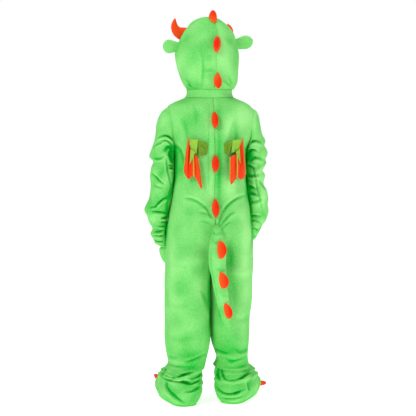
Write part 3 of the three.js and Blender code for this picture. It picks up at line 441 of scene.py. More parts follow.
# Painted shade in the grooves where two pieces meet, down the centre back and between the legs:
# start, middle and end in the camera's frame, half-width, strength, no lip
PAINTED_GROOVE_SHADE_LINES = [
    (173.5, 140, 175.5, 168, 174, 186, 1.8, -1.3, 0),
    (174.5, 176, 171, 192, 167, 202, 1.8, -1.4, 0),
    (167, 196, 166.5, 222, 165, 250, 1.6, -1.5, 0),
    (247, 140, 245.5, 168, 247, 186, 1.8, -1.3, 0),
    (246.5, 176, 248.5, 194, 251.5, 206, 1.8, -1.4, 0),
    (251, 200, 251.5, 222, 253, 250, 1.6, -1.5, 0),
    (209, 196, 208.5, 150, 209.5, 104, 0.8, -0.5, 0),
    (209, 262, 209.5, 300, 210.5, 342, 1.6, -1.2, 0),
]


def painted_light_and_nap_field(points, normal):
    """Painted light and shade: the sum of the patches, each a bell over its place in the camera's
    frame, and of the painted shade lines in the grooves, kept to the cloth that faces the camera.
    Some patches are partly the pile's nap."""
    at, facing = in_frame(points), toward_camera(normal)
    column, row = at[..., 0], at[..., 1]
    total = np.zeros(at.shape[:-1])
    for x, y, wide, tall, strength in NAP_AND_PAINTED_LIGHT_PATCHES:
        total += strength * np.exp(-(((column - x) / wide) ** 2) - ((row - y) / tall) ** 2)
    return total * ease(facing, 0.0, 0.35) + creases(at, PAINTED_GROOVE_SHADE_LINES) * ease(facing, -0.2, 0.15)


# %% [markdown]
# ## Body panels
# Two back panels and two front panels run from the neckline to the ankle, each with its half of the
# torso and one leg. The section is a rounded oval for the torso and one for each leg, and the seat
# curves under between them. The back is joined down its middle, and the seam pulls the plush in by a
# couple of millimetres, which reads as a dark line, deepened by painted shade along it.

# %% Body sizes
TORSO = Table("height half_width back front", [
    (975, 76, 60, 58),
    (968, 92, 65, 61),
    (961, 110, 70, 65),
    (948, 130, 77, 72),
    (920, 141, 85, 80),
    (880, 139, 92, 87),
    (850, 131, 95, 91),
    (815, 116, 97, 94),
    (780, 113, 96, 96),
    (740, 113, 94, 97),
    (700, 116, 93, 98),
    (660, 121, 96, 99),
    (620, 127, 101, 100),
    (580, 133, 106, 100),
    (560, 135, 108, 100),
    (520, 138, 108, 98),
    (470, 139, 102, 94),
])
LEGS = {
    LEFT: Table("height outer inner back front", [
        (560, 137, 0.3, 104, 98),
        (470, 140, 0.3, 98, 92),
        (430, 141, 0.6, 93, 88),
        (380, 142, 0.9, 87, 84),
        (330, 143, 1.2, 82, 80),
        (280, 143, 1.2, 79, 77),
        (230, 143, 1.8, 76, 75),
        (192, 142, 2.5, 73, 74),
        (160, 137, 7, 70, 72),
        (142, 133, 11, 67, 70),
        (129, 133, 14, 68, 70),
        (118, 141, 18, 70, 72),
    ]),
    RIGHT: Table("height outer inner back front", [
        (560, 136, 0.3, 104, 98),
        (470, 137, 0.3, 98, 92),
        (430, 137, 0.8, 93, 88),
        (380, 137, 1.5, 87, 84),
        (330, 134, 3, 82, 80),
        (280, 129, 5, 79, 77),
        (230, 128, 6, 76, 75),
        (192, 127, 10, 73, 74),
        (160, 123, 21, 69, 72),
        (142, 123, 26, 66, 70),
        (129, 126, 21, 68, 70),
        (118, 131, 15, 71, 72),
    ]),
}


def width_at(half_width, half_depth, y, squareness):
    """Half-width of a rounded section at the distance y from its middle."""
    rest = np.clip(1 - np.abs(y / half_depth) ** squareness, 0, None)
    return half_width * rest ** (1 / squareness)


def torso_depth(height, y):
    """The torso's depth on the side of y: the back's below 0 and the front's above."""
    return np.where(y < 0, TORSO.back(height), TORSO.front(height))


def leg_oval(side, height):
    """Middle and half-width of the leg's section."""
    outer, inner = LEGS[side].outer(height), LEGS[side].inner(height)
    return (outer + inner) / 2, (outer - inner) / 2


def leg_share(height, turn):
    """0 where the section is the torso's and 1 where it is the leg's. Between the legs the seat
    curves under as a quarter circle, and further out the change is even."""
    drop = np.clip((SEAT_TOP - height) / (SEAT_TOP - CROTCH), 0, 1)
    curve = 1 - np.sqrt(1 - drop * drop)
    even = drop * drop * (3 - 2 * drop)
    pull = np.abs(turn) ** 7
    return even * (1 - pull) + curve * pull


def body_point(side, height, turn):
    """A point of the body's outside. turn is -1 at the centre front, 0 at the side seam and 1
    at the centre back. Both ovals are |cos|, |sin| of the turn to a power, mixed by leg_share."""
    height, turn = np.broadcast_arrays(np.asarray(height, float), np.asarray(turn, float))
    leg = LEGS[side]
    share = leg_share(height, turn)
    half = turn * np.pi / 2
    depth = torso_depth(height, -turn)
    torso_x = TORSO.half_width(height) * power(np.cos(half), 2 / TORSO_SQUARENESS)
    torso_y = depth * power(np.sin(half), 2 / TORSO_SQUARENESS)
    middle, radius = leg_oval(side, height)
    leg_depth = np.where(turn > 0, leg.back(height), leg.front(height))
    leg_x = middle + radius * power(np.cos(2 * half), 2 / LEG_SQUARENESS)
    leg_y = leg_depth * power(np.sin(2 * half), 2 / LEG_SQUARENESS)
    return xyz(side * mix(torso_x, leg_x, share), -mix(torso_y, leg_y, share), height)


def body_reach(side, height, y):
    """Half-width of the body at a height and at y, the larger of the torso's and the leg's."""
    reach = width_at(TORSO.half_width(height), torso_depth(height, y), y, TORSO_SQUARENESS)
    reach = np.where(height > CROTCH - CROTCH_DROP, reach, 0)
    leg = LEGS[side]
    middle, radius = leg_oval(side, height)
    depth = np.where(y < 0, leg.back(height), leg.front(height))
    width = width_at(radius, depth, y, LEG_SQUARENESS)
    low = (height < SEAT_TOP) & (width > 0)
    return np.where(low, np.maximum(reach, middle + width), reach)


def armhole(angle):
    """Height and y of the armhole's loop: an ellipse from the shoulder tip to the armpit."""
    height = ARMHOLE_MIDDLE + ARMHOLE_RADIUS * np.cos(angle)
    return height, -ARMHOLE_HALF_DEPTH * np.sin(angle)


def armhole_turn(height, face):
    """The turn at which a panel meets the armhole, or 0 below and above it."""
    rise = np.clip((height - ARMHOLE_MIDDLE) / ARMHOLE_RADIUS, -1, 1)
    y = ARMHOLE_HALF_DEPTH * np.sqrt(1 - rise * rise)
    depth = TORSO.back(height) if face == BACK else TORSO.front(height)
    return np.arcsin((y / depth) ** (TORSO_SQUARENESS / 2)) * 2 / np.pi


# %% The creases of the back, in the camera's frame
# start x y, middle x y, end x y, half-width, depth, lip
BACK_CREASES = [
    (184, 198, 195, 200.5, 206, 208, 1.8, -4.0, -0.5),
    (203, 206, 208, 211, 212, 218, 1.6, -3.5, 0.4),
    (246, 195, 232, 202, 221, 215, 1.9, -4.5, 0.5),
    (222, 214, 219.5, 221, 219, 230, 1.5, -3.0, 0.4),
    (219, 229, 228, 217, 236, 212, 1.6, -3.5, 0.5),
    (220, 232, 225, 226, 231, 222, 1.5, -2.5, 0.4),
    (213, 219, 207, 214, 199, 213, 1.8, -2.5, 0.4),
    (212, 226, 206, 222, 198, 222, 1.8, -2.0, 0.4),
    (172, 144, 180, 152, 184, 166, 2.5, -3.0, -0.4),
    (246, 152, 240, 162, 239, 176, 2.5, -3.0, 0.4),
    (180, 118, 186, 128, 187, 142, 3.0, -1.8, 0.3),
    (236, 120, 232, 130, 231, 142, 3.0, -1.8, 0.3),
    (192, 104, 196, 112, 196, 124, 3.5, -1.5, 0.3),
    (170, 262, 182, 266, 194, 262, 4.0, -0.8, 0.3),
    (232, 262, 242, 268, 252, 264, 4.0, -0.8, 0.3),
    (166, 300, 176, 306, 190, 304, 4.0, -0.9, 0.3),
    (228, 316, 240, 320, 252, 314, 4.0, -1.2, 0.3),
    (168, 334, 180, 340, 196, 336, 4.0, -1.0, 0.3),
    (210.5, 341, 216, 350, 230, 354, 1.6, -4.0, 0.5),
    (225, 358, 234, 361, 246, 356, 1.8, -3.0, 0.5),
    (236, 350, 242, 352.5, 250, 347, 1.6, -2.5, 0.5),
    (164, 352, 170, 357, 178, 358, 1.8, -2.0, 0.4),
    (183, 362, 194, 360, 207, 353, 1.6, -3.0, -0.5),
    (166, 361, 174, 366, 186, 366.5, 1.6, -2.5, 0.4),
    (222, 366, 236, 368, 248, 364, 1.8, -2.5, -0.5),
    (200, 290, 206, 300, 209, 316, 2.5, -2.0, 0.3),
    (216, 292, 219, 304, 220, 318, 2.5, -2.0, 0.3),
]

# The creases of the hidden front: x and height in millimetres, then the same columns
FRONT_CREASES = [
    (-88, 640, -50, 622, -12, 588, 7, -4.0, 0.5),
    (90, 632, 52, 618, 14, 584, 7, -4.0, -0.5),
    (-70, 600, -40, 580, -10, 552, 6, -3.0, 0.4),
    (64, 596, 38, 570, 12, 545, 6, -3.5, -0.4),
    (-104, 820, -80, 790, -74, 745, 8, -3.0, 0.4),
    (100, 826, 78, 796, 70, 752, 8, -3.0, -0.4),
    (-60, 905, -52, 870, -56, 830, 10, -2.0, 0.3),
    (58, 900, 48, 866, 54, 822, 10, -2.0, 0.3),
    (-116, 400, -74, 384, -30, 392, 10, -2.5, 0.4),
    (30, 372, 72, 358, 112, 368, 10, -2.5, 0.4),
    (-120, 262, -76, 250, -28, 258, 9, -3.0, 0.4),
    (34, 244, 70, 232, 112, 246, 9, -3.0, 0.4),
    (-122, 176, -76, 164, -30, 172, 7, -4.0, 0.5),
    (36, 186, 74, 170, 110, 178, 7, -4.0, 0.5),
    (-118, 148, -78, 140, -34, 150, 6, -3.5, -0.5),
    (38, 152, 74, 142, 112, 150, 6, -3.5, -0.5),
]

BODY_FOLDS = {
    LEFT: [
        (812, 0.3, 40, 15, -3, 0.9),
        (628, 0.62, 42, 15, -4, -0.5),
        (606, 0.8, 30, 15, 4, -0.7),
        (585, 0.92, 26, 15, -3.5, -0.9),
        (470, 0.5, 60, 15, 4, 0.2),
        (250, 0.3, 50, 16, 3, 0.5),
        (168, 0.45, 45, 15, -4, 0.15),
        (148, 0.3, 40, 15, 4, -0.2),
        (134, 0.5, 40, 15, -4, 0.1),
    ],
    RIGHT: [
        (800, 0.3, 40, 15, -3, 0.9),
        (640, 0.55, 46, 15, -4, -0.6),
        (612, 0.78, 34, 15, 4, -0.7),
        (580, 0.9, 28, 15, -4, -0.9),
        (440, 0.55, 55, 15, 4, 0.2),
        (300, 0.3, 50, 16, 3, -0.4),
        (176, 0.45, 45, 15, -5, -0.1),
        (156, 0.6, 40, 15, 4, -0.2),
        (136, 0.5, 40, 15, -4, 0.1),
    ],
}


# %% Body panels
BODY_TURN_LENGTH, SLEEVE_TURN_LENGTH = 150.0, 130.0
BACK_GRID, FRONT_GRID = (300, 96), (190, 56)
PANEL_WIDTH = 120
# How much deeper than its row a crease is pressed in each cloth
BODY_DEPTH, SLEEVE_DEPTH, HOOD_DEPTH, FOOT_DEPTH = 1.4, 1.8, 1.3, 1.7
# At knee height the legs' inner sides are pushed toward each other, by up to the shift
KNEE_HEIGHT, KNEE_TALL, KNEE_WIDE, KNEE_SHIFT = 235, 34, 30, 2.6


def seam_pull(distance, depth=2.2, width=4.0):
    """The plush is drawn in along a seam: a bell of the distance from it."""
    return -depth * np.exp(-((distance / width) ** 2))


def body_panel(side, face):
    """One panel: body_point over heights and turns, moved out along its normals by the large
    folds, the creases, the seams and the soft lumps."""
    rows, columns = BACK_GRID if face == BACK else FRONT_GRID
    height = np.linspace(NECKLINE, ANKLE, rows)[:, None]
    u = np.linspace(0, 1, columns)[None, :]
    start = armhole_turn(height, face)
    turn = face * (start + (1 - start) * u)
    points = body_point(side, height, turn)
    normal = outward_normals(points, heart=[side * 60, 0, 500])
    if (normal[rows // 2, columns // 2] @ [0, -face, 0]) < 0:
        normal = -normal
    edge = np.sin(np.pi * u) * np.clip((height - ANKLE) / 12, 0, 1)
    lift = slopes(height, u, BODY_TURN_LENGTH, BODY_FOLDS[side]) * edge
    if face == BACK:
        fine = seen_creases(points, normal, narrower(BACK_CREASES)) * BODY_DEPTH
    else:
        fine = creases(points[..., [0, 2]], FRONT_CREASES) * ease(normal[..., 1], 0.1, 0.5)
    armhole_edge = ease(u * PANEL_WIDTH, 0, 14)
    ends = ease(height, ANKLE, ANKLE + 10) * ease(-height, -NECKLINE, -NECKLINE + 10)
    under_sleeve = (height < ARMPIT) & (height > CROTCH)
    clear = np.where(under_sleeve, ease(u, 0.12, 0.4), 1)
    fine = (fine + unevenness(points, 95, 1.8, side + face)) * ends * armhole_edge * clear
    centre = np.abs(points[..., 0])
    centre = np.where(height > SEAT_TOP, centre, 20 + centre)
    seam = seam_pull(centre, 1.8, 6.0) * ease(height, ANKLE, ANKLE + 20)
    side_seam = seam_pull(np.abs(points[..., 1]), 1.4, 3.5) * (height < ARMPIT)
    side_seam = side_seam * ease(height, ANKLE, ANKLE + 20)
    moved = points + normal * (lift + fine + seam + side_seam)[..., None]
    gap = SEAM_LINE / 2
    near_knee = np.exp(-(((height - KNEE_HEIGHT) / KNEE_TALL) ** 2))
    knees = near_knee * np.exp(-((points[..., 0] / KNEE_WIDE) ** 2))
    moved[..., 0] -= side * KNEE_SHIFT * knees
    moved[:, 0, 1] -= face * gap
    moved[:, -1, 1] -= face * gap
    moved[..., 0] = side * np.maximum(side * moved[..., 0], gap)
    name = f"plush_{'back' if face == BACK else 'front'}_{WORDS[side]}"
    # Painted light and shade for the plush's colour
    painted_light_values = painted_light_and_nap_field(points, normal)
    piece = grid_object(name, moved, fold=lift * 0.5 + fine, outward=[0, -face, 0], nap_and_painted_light=painted_light_values)
    return piece, moved


for face, word in ((BACK, "back"), (FRONT, "front")):
    for side in (LEFT, RIGHT):
        piece, points = body_panel(side, face)
        other = f"{'front' if face == BACK else 'back'}_{WORDS[side]}"
        held = (*lengths_of(points), "hung", [other])
        finish_piece(piece, [f"{word}_{WORDS[side]}"], "plush", PLUSH, held)
print("body panels:", len(PIECES))

# %% [markdown]
# ## Sleeves and mitts
# The sleeves are cut too long and bunch over the arm, so a sleeve is a tube through rings that
# swell and narrow unevenly. The first ring is the armhole, and every ring is pushed clear of
# the body. At the wrist the plush is gathered and a closed mitt carries on from it.

# %% Sleeve sizes
SLEEVES = {
    LEFT: ring_table("outer height inner drop y depth", [
        (150, 934, 117.5, 128, 0, 53),
        (160, 915, 118.5, 116, 0, 53),
        (167, 890, 119, 99, 0, 52),
        (170, 864, 119, 83, 1, 50),
        (175, 838, 118.5, 67, 1, 49),
        (183, 813, 118, 54, 2, 48),
        (190, 791, 118, 43, 2, 47),
        (179, 776, 118.5, 38, 2, 43),
        (185, 758, 119, 34, 2, 46),
        (187, 731, 120, 28, 3, 45),
        (185, 706, 121.5, 22, 5, 43),
        (187, 681, 124, 16, 8, 44),
        (192, 655, 127, 10, 13, 44),
        (204, 624, 131, 4, 20, 46),
        (195, 603, 132, 0, 28, 43),
        (188, 583, 133, 0, 37, 42),
        (175, 561, 131.5, 0, 46, 36),
        (180, 542, 129, 0, 54, 39),
        (171, 524, 125.5, 0, 62, 35),
        (161, 508, 120, 0, 69, 31),
        (145, 498, 117, 0, 75, 25),
    ]),
    RIGHT: ring_table("outer height inner drop y depth", [
        (150, 934, 117.5, 128, 0, 53),
        (158, 916, 118.5, 116, 0, 53),
        (163, 890, 119, 99, 0, 52),
        (169, 862, 119, 83, 1, 50),
        (180, 841, 118.5, 69, 1, 50),
        (177, 825, 118, 60, 2, 47),
        (187, 803, 118, 48, 2, 48),
        (181, 780, 118.5, 39, 2, 44),
        (184, 768, 119, 35, 2, 46),
        (173, 746, 120, 31, 3, 42),
        (180, 729, 121, 27, 4, 45),
        (176, 703, 121.5, 22, 5, 42),
        (187, 682, 124, 16, 8, 44),
        (193, 656, 127, 10, 13, 45),
        (193, 632, 130, 5, 18, 45),
        (198, 610, 132, 0, 26, 44),
        (194, 587, 133, 0, 36, 42),
        (185, 567, 131.5, 0, 46, 38),
        (181, 552, 129, 0, 54, 37),
        (172, 535, 125.5, 0, 62, 33),
        (166, 520, 120, 0, 69, 32),
        (152, 508, 117, 0, 75, 25),
    ]),
}
SLEEVE_FOLDS = {
    LEFT: [
        (832, -0.7, 34, 12, 5, 0.5),
        (812, -0.5, 30, 12, -5, 0.7),
        (735, -0.35, 34, 12, -5, -0.8),
        (716, -0.5, 30, 12, 4, -0.8),
        (650, -0.45, 34, 12, -4, 0.7),
        (617, -0.4, 40, 12, -5, 0.05),
        (600, -0.5, 36, 12, 4, 0.1),
        (552, -0.35, 34, 12, -5, -0.1),
        (530, -0.5, 30, 12, 4, 0.1),
    ],
    RIGHT: [
        (830, -0.7, 34, 12, 5, 0.5),
        (808, -0.45, 30, 12, -5, 0.7),
        (758, -0.5, 30, 12, -4, 0.1),
        (692, -0.5, 34, 12, -5, 0.6),
        (664, -0.4, 34, 12, 4, 0.7),
        (606, -0.45, 36, 12, -5, -0.3),
        (586, -0.5, 34, 12, 4, -0.2),
        (549, -0.4, 34, 12, -5, 0.2),
    ],
}

# Creases that show, in the camera's frame
SLEEVE_CREASES = {
    LEFT: [
        (157, 138.5, 167.5, 136.5, 176, 145, 1.5, -6.0, 0.6),
        (159, 143.5, 166.5, 141, 174, 148, 1.3, -3.5, 0.5),
        (153, 149, 157, 144.5, 162, 143, 1.3, -3.0, 0.4),
        (164, 152, 169.5, 147.5, 175, 153, 2.6, -6.0, 0.4),
        (170, 150, 172, 157, 175, 164, 3.4, -6.5, 0.2),
        (169, 164.5, 172, 165.5, 176, 164, 1.3, -3.5, -0.4),
        (169.5, 168, 172.5, 168.5, 176, 167.5, 1.3, -4.0, 0.4),
        (152, 157, 158, 159, 165, 156, 1.6, -3.0, 0.5),
        (166.5, 157, 168, 170, 171, 186, 1.4, -3.0, 0.3),
        (151, 172, 157, 179, 165, 184.5, 1.5, -4.5, -0.5),
        (153, 184, 158, 187, 164, 188, 1.4, -2.5, -0.5),
        (154, 207.5, 161, 201.5, 169, 196.5, 1.4, -5.0, 0.6),
        (149, 208, 153, 207, 158, 207.5, 1.3, -3.0, 0.4),
        (151, 213, 159, 213, 167, 213, 1.3, -4.5, 0.5),
        (161, 218.5, 164.5, 218, 168, 216, 1.2, -4.5, 0.5),
        (161, 222, 164.5, 221.5, 168, 220, 1.2, -4.5, -0.5),
        (157, 227, 163, 227, 168, 225, 1.2, -3.5, 0.5),
        (153, 231, 160, 232, 168, 229, 1.3, -4.0, 0.5),
        (152, 235.5, 160, 236, 167, 234.5, 1.2, -4.5, -0.5),
        (152, 239, 159, 242, 167, 240, 1.2, -4.5, 0.5),
        (157, 245.5, 161, 247, 166, 245, 1.1, -3.5, 0.4),
    ],
    RIGHT: [
        (247, 149, 252, 142, 263, 143, 1.6, -5.5, 0.5),
        (246, 154, 251, 150, 258, 152, 1.5, -4.5, -0.5),
        (250, 161, 256, 158, 265, 161, 1.8, -4.0, 0.5),
        (243, 164, 248, 165, 254, 169, 1.4, -4.0, -0.5),
        (252.5, 166, 256, 182, 263, 214, 1.4, -2.8, 0.3),
        (246, 174, 252, 176, 260, 174, 1.7, -4.0, 0.5),
        (245, 183, 250, 186, 257, 190, 1.5, -4.5, -0.5),
        (247, 190, 252, 194, 260, 196, 1.5, -4.0, 0.5),
        (250, 202, 256, 202, 263, 199, 1.8, -3.0, 0.4),
        (249, 214, 254, 216, 261, 217, 1.5, -4.0, -0.5),
        (250, 221, 255, 221, 262, 225, 1.4, -3.5, 0.5),
        (250, 229, 255, 229, 260, 233, 1.4, -3.5, -0.5),
        (252, 236, 256, 237, 261, 236, 1.3, -3.0, 0.4),
        (258, 180, 262, 184, 265, 190, 1.5, -2.5, 0.4),
    ],
}
# The front of both sleeves: distance from the body's middle and height, in millimetres
SLEEVE_FRONT_CREASES = [
    (186, 872, 160, 862, 128, 846, 6, -4.0, 0.4),
    (184, 832, 158, 826, 126, 832, 6, -5.0, 0.5),
    (188, 796, 162, 786, 124, 792, 7, -4.0, -0.4),
    (190, 742, 160, 752, 126, 738, 6, -4.5, 0.5),
    (186, 704, 156, 698, 128, 708, 7, -4.0, 0.5),
    (192, 662, 164, 650, 132, 658, 6, -4.0, -0.5),
    (200, 612, 170, 606, 136, 616, 6, -5.0, 0.5),
    (192, 578, 166, 570, 136, 578, 5, -4.0, 0.5),
    (180, 548, 160, 542, 132, 548, 5, -4.0, -0.5),
]


def sleeve_point(side, ring, around):
    """A ring is a slanted ellipse from the table, around it as a share of a turn: 0 is the
    outer side, a quarter the back and a half the inside. Above ring 1 it closes on the armhole,
    and nothing comes nearer to the body than a small clearance."""
    ring, around = np.broadcast_arrays(np.asarray(ring, float), np.asarray(around, float))
    sizes = SLEEVES[side]
    angle = around * 2 * np.pi
    row = np.maximum(ring - 1, 0)
    inner = sizes.inner(row) - PRESS
    middle, radius = (sizes.outer(row) + inner) / 2, (sizes.outer(row) - inner) / 2
    z = sizes.height(row) - sizes.drop(row) * (1 - np.cos(angle)) / 2
    y = sizes.y(row) - sizes.depth(row) * np.sin(angle)
    points = xyz(side * (middle + radius * np.cos(angle)), y, z)
    loop_z, loop_y = armhole(angle)
    depth = torso_depth(loop_z, loop_y)
    edge = width_at(TORSO.half_width(loop_z), depth, loop_y, TORSO_SQUARENESS)
    seat = xyz(side * (edge + SEAM_LINE), loop_y, loop_z)
    points = mix(points, seat, np.clip(1 - ring, 0, 1)[..., None])
    reach = body_reach(side, points[..., 2], points[..., 1])
    free = np.where(ring < 1, SEAM_LINE, CLEAR)
    inside = (reach > 0) & (np.abs(points[..., 0]) < reach + free) & (points[..., 2] < ARMPIT + 4)
    points[..., 0] = np.where(inside, side * (reach + free), points[..., 0])
    return points


# %% Sleeves
SLEEVE_GRID, SLEEVE_RING_GAP = (250, 104), 14


def sleeve(side):
    """sleeve_point over rings and turns, moved out by the folds and creases. The side against
    the body stays plain, so the cloth keeps clear of it."""
    last = SLEEVES[side].last + 1
    rows, columns = SLEEVE_GRID
    ring = np.linspace(0, last, rows)[:, None]
    around = np.arange(columns)[None, :] / columns
    points = sleeve_point(side, ring, around)
    normal = outward_normals(points, True)
    free = np.clip(np.cos((around - 0.08) * 2 * np.pi) + 0.5, 0, None) / 1.5
    ends = ease(ring, 0, 1.2) * ease(-ring, -last, -last + 0.8)
    lift = slopes(points[..., 2], -around * 2, SLEEVE_TURN_LENGTH, SLEEVE_FOLDS[side])
    fine = seen_creases(points, normal, narrower(SLEEVE_CREASES[side])) * SLEEVE_DEPTH
    front = np.stack([np.abs(points[..., 0]), points[..., 2]], -1)
    fine = fine + creases(front, SLEEVE_FRONT_CREASES) * ease(normal[..., 1], 0.1, 0.5)
    fine = fine + unevenness(points, 70, 1.6, side)
    apart = np.abs(points[..., 0]) - body_reach(side, points[..., 2], points[..., 1])
    clear = np.where(points[..., 2] < ARMPIT + 30, ease(apart, 2, 12), 1)
    lift, fine = lift * free * ends, fine * ends * clear
    armhole_seam = seam_pull(ring * SLEEVE_RING_GAP, 0.4, 6.0)
    armhole_seam = armhole_seam * ease(points[..., 2], ARMPIT, ARMPIT + 20)
    moved = points + normal * (lift + fine + armhole_seam * (ring > 0))[..., None]
    # Painted light and shade for the plush's colour
    painted_light_values = painted_light_and_nap_field(points, normal)
    name = f"plush_sleeve_{WORDS[side]}"
    piece = grid_object(name, moved, closed=True, fold=lift * 0.5 + fine, nap_and_painted_light=painted_light_values)
    return piece, moved


MITT = ring_table("x down y half_width depth", [
    (0, 0.4, 0, 1, 1),
    (-1, 6, 5, 16, 26),
    (-5, 16, 20, 20, 26),
    (-11, 30, 37, 21, 26),
    (-16, 44, 50, 20, 25),
    (-20, 57, 60, 16, 20),
    (-21, 65, 66, 9, 12),
    (-22, 68, 68, 0, 0),
])


def mitt(side):
    """Rings that leave the wrist, swell over the hand and close at the fingertips."""
    last = SLEEVES[side].last + 1
    rim = mix(sleeve_point(side, last, 0), sleeve_point(side, last, 0.5), 0.5)
    i = np.linspace(0, 6.96, 60)[:, None]
    around = np.arange(48)[None, :] / 48
    angle = around * 2 * np.pi
    points = xyz(
        rim[0] + side * (MITT.x(i) + MITT.half_width(i) * np.cos(angle)),
        rim[1] + MITT.y(i) - MITT.depth(i) * np.sin(angle),
        rim[2] - MITT.down(i),
    )
    seat = sleeve_point(side, last, around * np.ones_like(i))
    seat[..., 2] -= MITT.down(0)
    points = mix(points, seat, np.clip(1 - i, 0, 1)[..., None])
    reach = body_reach(side, points[..., 2], points[..., 1])
    inside = (reach > 0) & (np.abs(points[..., 0]) < reach + CLEAR) & (MITT.depth(i) > 5)
    points[..., 0] = np.where(inside, side * (reach + CLEAR), points[..., 0])
    tip = [rim[0] + side * MITT.x(7), rim[1] + MITT.y(7), rim[2] - MITT.down(7)]
    return grid_object(f"plush_mitt_{WORDS[side]}", points, True, poles=(None, tip)), points


for side in (LEFT, RIGHT):
    piece, points = sleeve(side)
    held = (*lengths_of(points, True), "gathered", [f"back_{WORDS[side]}"])
    finish_piece(piece, [f"sleeve_{WORDS[side]}"], "plush", PLUSH, held)
    piece, points = mitt(side)
    held = (*lengths_of(points, True), "hung", [f"sleeve_{WORDS[side]}"])
    finish_piece(piece, [f"mitt_{WORDS[side]}"], "plush", PLUSH, held)
print("sleeves and mitts:", TALLY[-4:])

# %% [markdown]
# ## Hood and neck band
# Two panels make the hood. They meet along a seam from the nape over the crown to the forehead,
# and their front edges leave the face open. A short standing band joins the hood to the
# neckline. The hood is turned a little to the left of the body, as a head is.

# %% Hood sizes
HOOD_RISE = 223.0
HOOD = ring_table("height half_width back front edge shift", [
    (1000.3, 73, 62, 60, -0.93, 3),
    (1010, 79, 72, 68, -0.86, 2),
    (1022, 85, 83, 78, -0.74, 1),
    (1045, 91, 98, 90, -0.52, -2),
    (1075, 95, 110, 98, -0.4, -6),
    (1107, 97, 116, 103, -0.36, -9),
    (1133, 92, 117, 104, -0.36, -8),
    (1156, 84, 113, 102, -0.4, -6),
    (1175, 74, 106, 99, -0.47, -5),
    (1194, 60, 96, 92, -0.6, -6),
    (1208, 47, 86, 84, -0.74, -9),
    (1217, 32, 76, 76, -0.88, -11),
    (1222, 14, 68, 69, -0.97, -12),
    (1223, 0, 64, 66, -1, -12),
])
HOOD_CREASES = [
    (202.5, 52, 203, 70, 202, 89, 1.3, -2.2, 0.4),
    (203, 71.5, 212, 71, 223, 72, 1.3, -1.6, 0.4),
    (186, 92, 190, 90, 197, 92, 1.4, -3.5, 0.5),
    (188, 84, 192, 88, 199, 91, 1.5, -2.5, -0.4),
    (224, 81, 229, 85, 232, 88, 1.4, -3.0, 0.4),
    (228, 76, 231, 82, 233, 86, 1.4, -2.5, 0.4),
    (184, 78, 188, 83, 190, 89, 1.8, -2.2, 0.3),
    (180, 44, 186, 38, 196, 34, 3.0, -1.0, 0.3),
    (224, 36, 231, 42, 235, 50, 3.0, -1.2, 0.3),
]


def hood_turn(height):
    """The hood turns away from the neck seam, where it still sits square."""
    return HOOD_TURN * np.clip((height - NECK_TOP) / 25, 0, 1)


def hood_point(side, row, turn):
    """Ovals from the table that lean forward and down over the forehead, turned as one."""
    row, turn = np.broadcast_arrays(np.asarray(row, float), np.asarray(turn, float))
    angle = turn * np.pi / 2
    depth = np.where(turn > 0, HOOD.back(row), HOOD.front(row))
    x = side * HOOD.half_width(row) * power(np.cos(angle), 2 / HOOD_SQUARENESS)
    y = -depth * power(np.sin(angle), 2 / HOOD_SQUARENESS)
    height = HOOD.height(row)
    forward = np.clip(-np.sin(angle), 0, None)
    rise = np.clip((height - NECK_TOP) / HOOD_RISE, 0, None)
    z = height - HOOD_FRONT_DROP * forward**2 * rise**2
    turned = hood_turn(height)
    across = x * np.cos(turned) - y * np.sin(turned) + HOOD.shift(row)
    return xyz(across, x * np.sin(turned) + y * np.cos(turned), z)


# %% Hood panels
def hood_panel(side):
    """hood_point over rows and turns, with the seam drawn in."""
    last = HOOD.last
    share = np.linspace(0, 1, 120)[:, None]
    row = last * (1 - (1 - share) ** 1.25)
    u = np.linspace(0, 1, 110)[None, :]
    turn = 1 - (1 - HOOD.edge(row)) * u
    points = hood_point(side, row, turn)
    normal = outward_normals(points, heart=[-4, 0, 1110])
    centre = hood_point(side, row, np.ones_like(turn))
    level = np.stack([np.cos(hood_turn(centre[..., 2])), np.sin(hood_turn(centre[..., 2]))], -1)
    across = np.abs(np.sum((points - centre)[..., :2] * level, -1))
    ends = ease(row, 0, 1.2)
    fine = seen_creases(points, normal, HOOD_CREASES) * HOOD_DEPTH
    fine = (fine + unevenness(points, 80, 1.6, side)) * ends * ease(across, 0, 8)
    moved = points + normal * (fine + seam_pull(across, 1.6, 5.0) * ends)[..., None]
    way = np.concatenate([level, np.zeros_like(level[..., :1])], -1)
    off = np.sum((moved - centre)[..., :2] * level, -1)
    onto_seam = moved - off[..., None] * way + side * (SEAM_LINE / 2) * way
    moved = np.where((off * side < SEAM_LINE / 2)[..., None], onto_seam, moved)
    # Painted light and shade for the plush's colour
    painted_light_values = painted_light_and_nap_field(points, normal)
    piece = grid_object(f"plush_hood_{WORDS[side]}", moved, fold=fine, nap_and_painted_light=painted_light_values)
    return piece, moved


NECK = Table("height half_width back front", [
    (NECKLINE, 76, 60, 58),
    (988, 71, 58, 56),
    (NECK_TOP, 72, 61, 58),
])
NECK_SQUARENESS, NECK_OPENING = 2.2, 0.97


def neck_band():
    """Ovals from the table, open at the centre front."""
    height = np.linspace(NECKLINE + SEAM_LINE, NECK_TOP, 14)[:, None]
    turn = np.linspace(1, -1, 150)[None, :]
    angle = turn * NECK_OPENING * np.pi
    x = -NECK.half_width(height) * power(np.sin(angle), 2 / NECK_SQUARENESS)
    depth = np.where(np.cos(angle) > 0, NECK.back(height), NECK.front(height))
    points = xyz(x, -depth * power(np.cos(angle), 2 / NECK_SQUARENESS), height)
    return grid_object("plush_neck_band", points), points


for side in (LEFT, RIGHT):
    piece, points = hood_panel(side)
    held = (*lengths_of(points), "hung", ["neck_band"])
    finish_piece(piece, [f"hood_{WORDS[side]}"], "plush", PLUSH, held)
piece, points = neck_band()
held = (*lengths_of(points), "hung", ["back_left", "back_right"])
finish_piece(piece, ["neck_band"], "plush", PLUSH, held)
print("hood and neck:", TALLY[-3:])

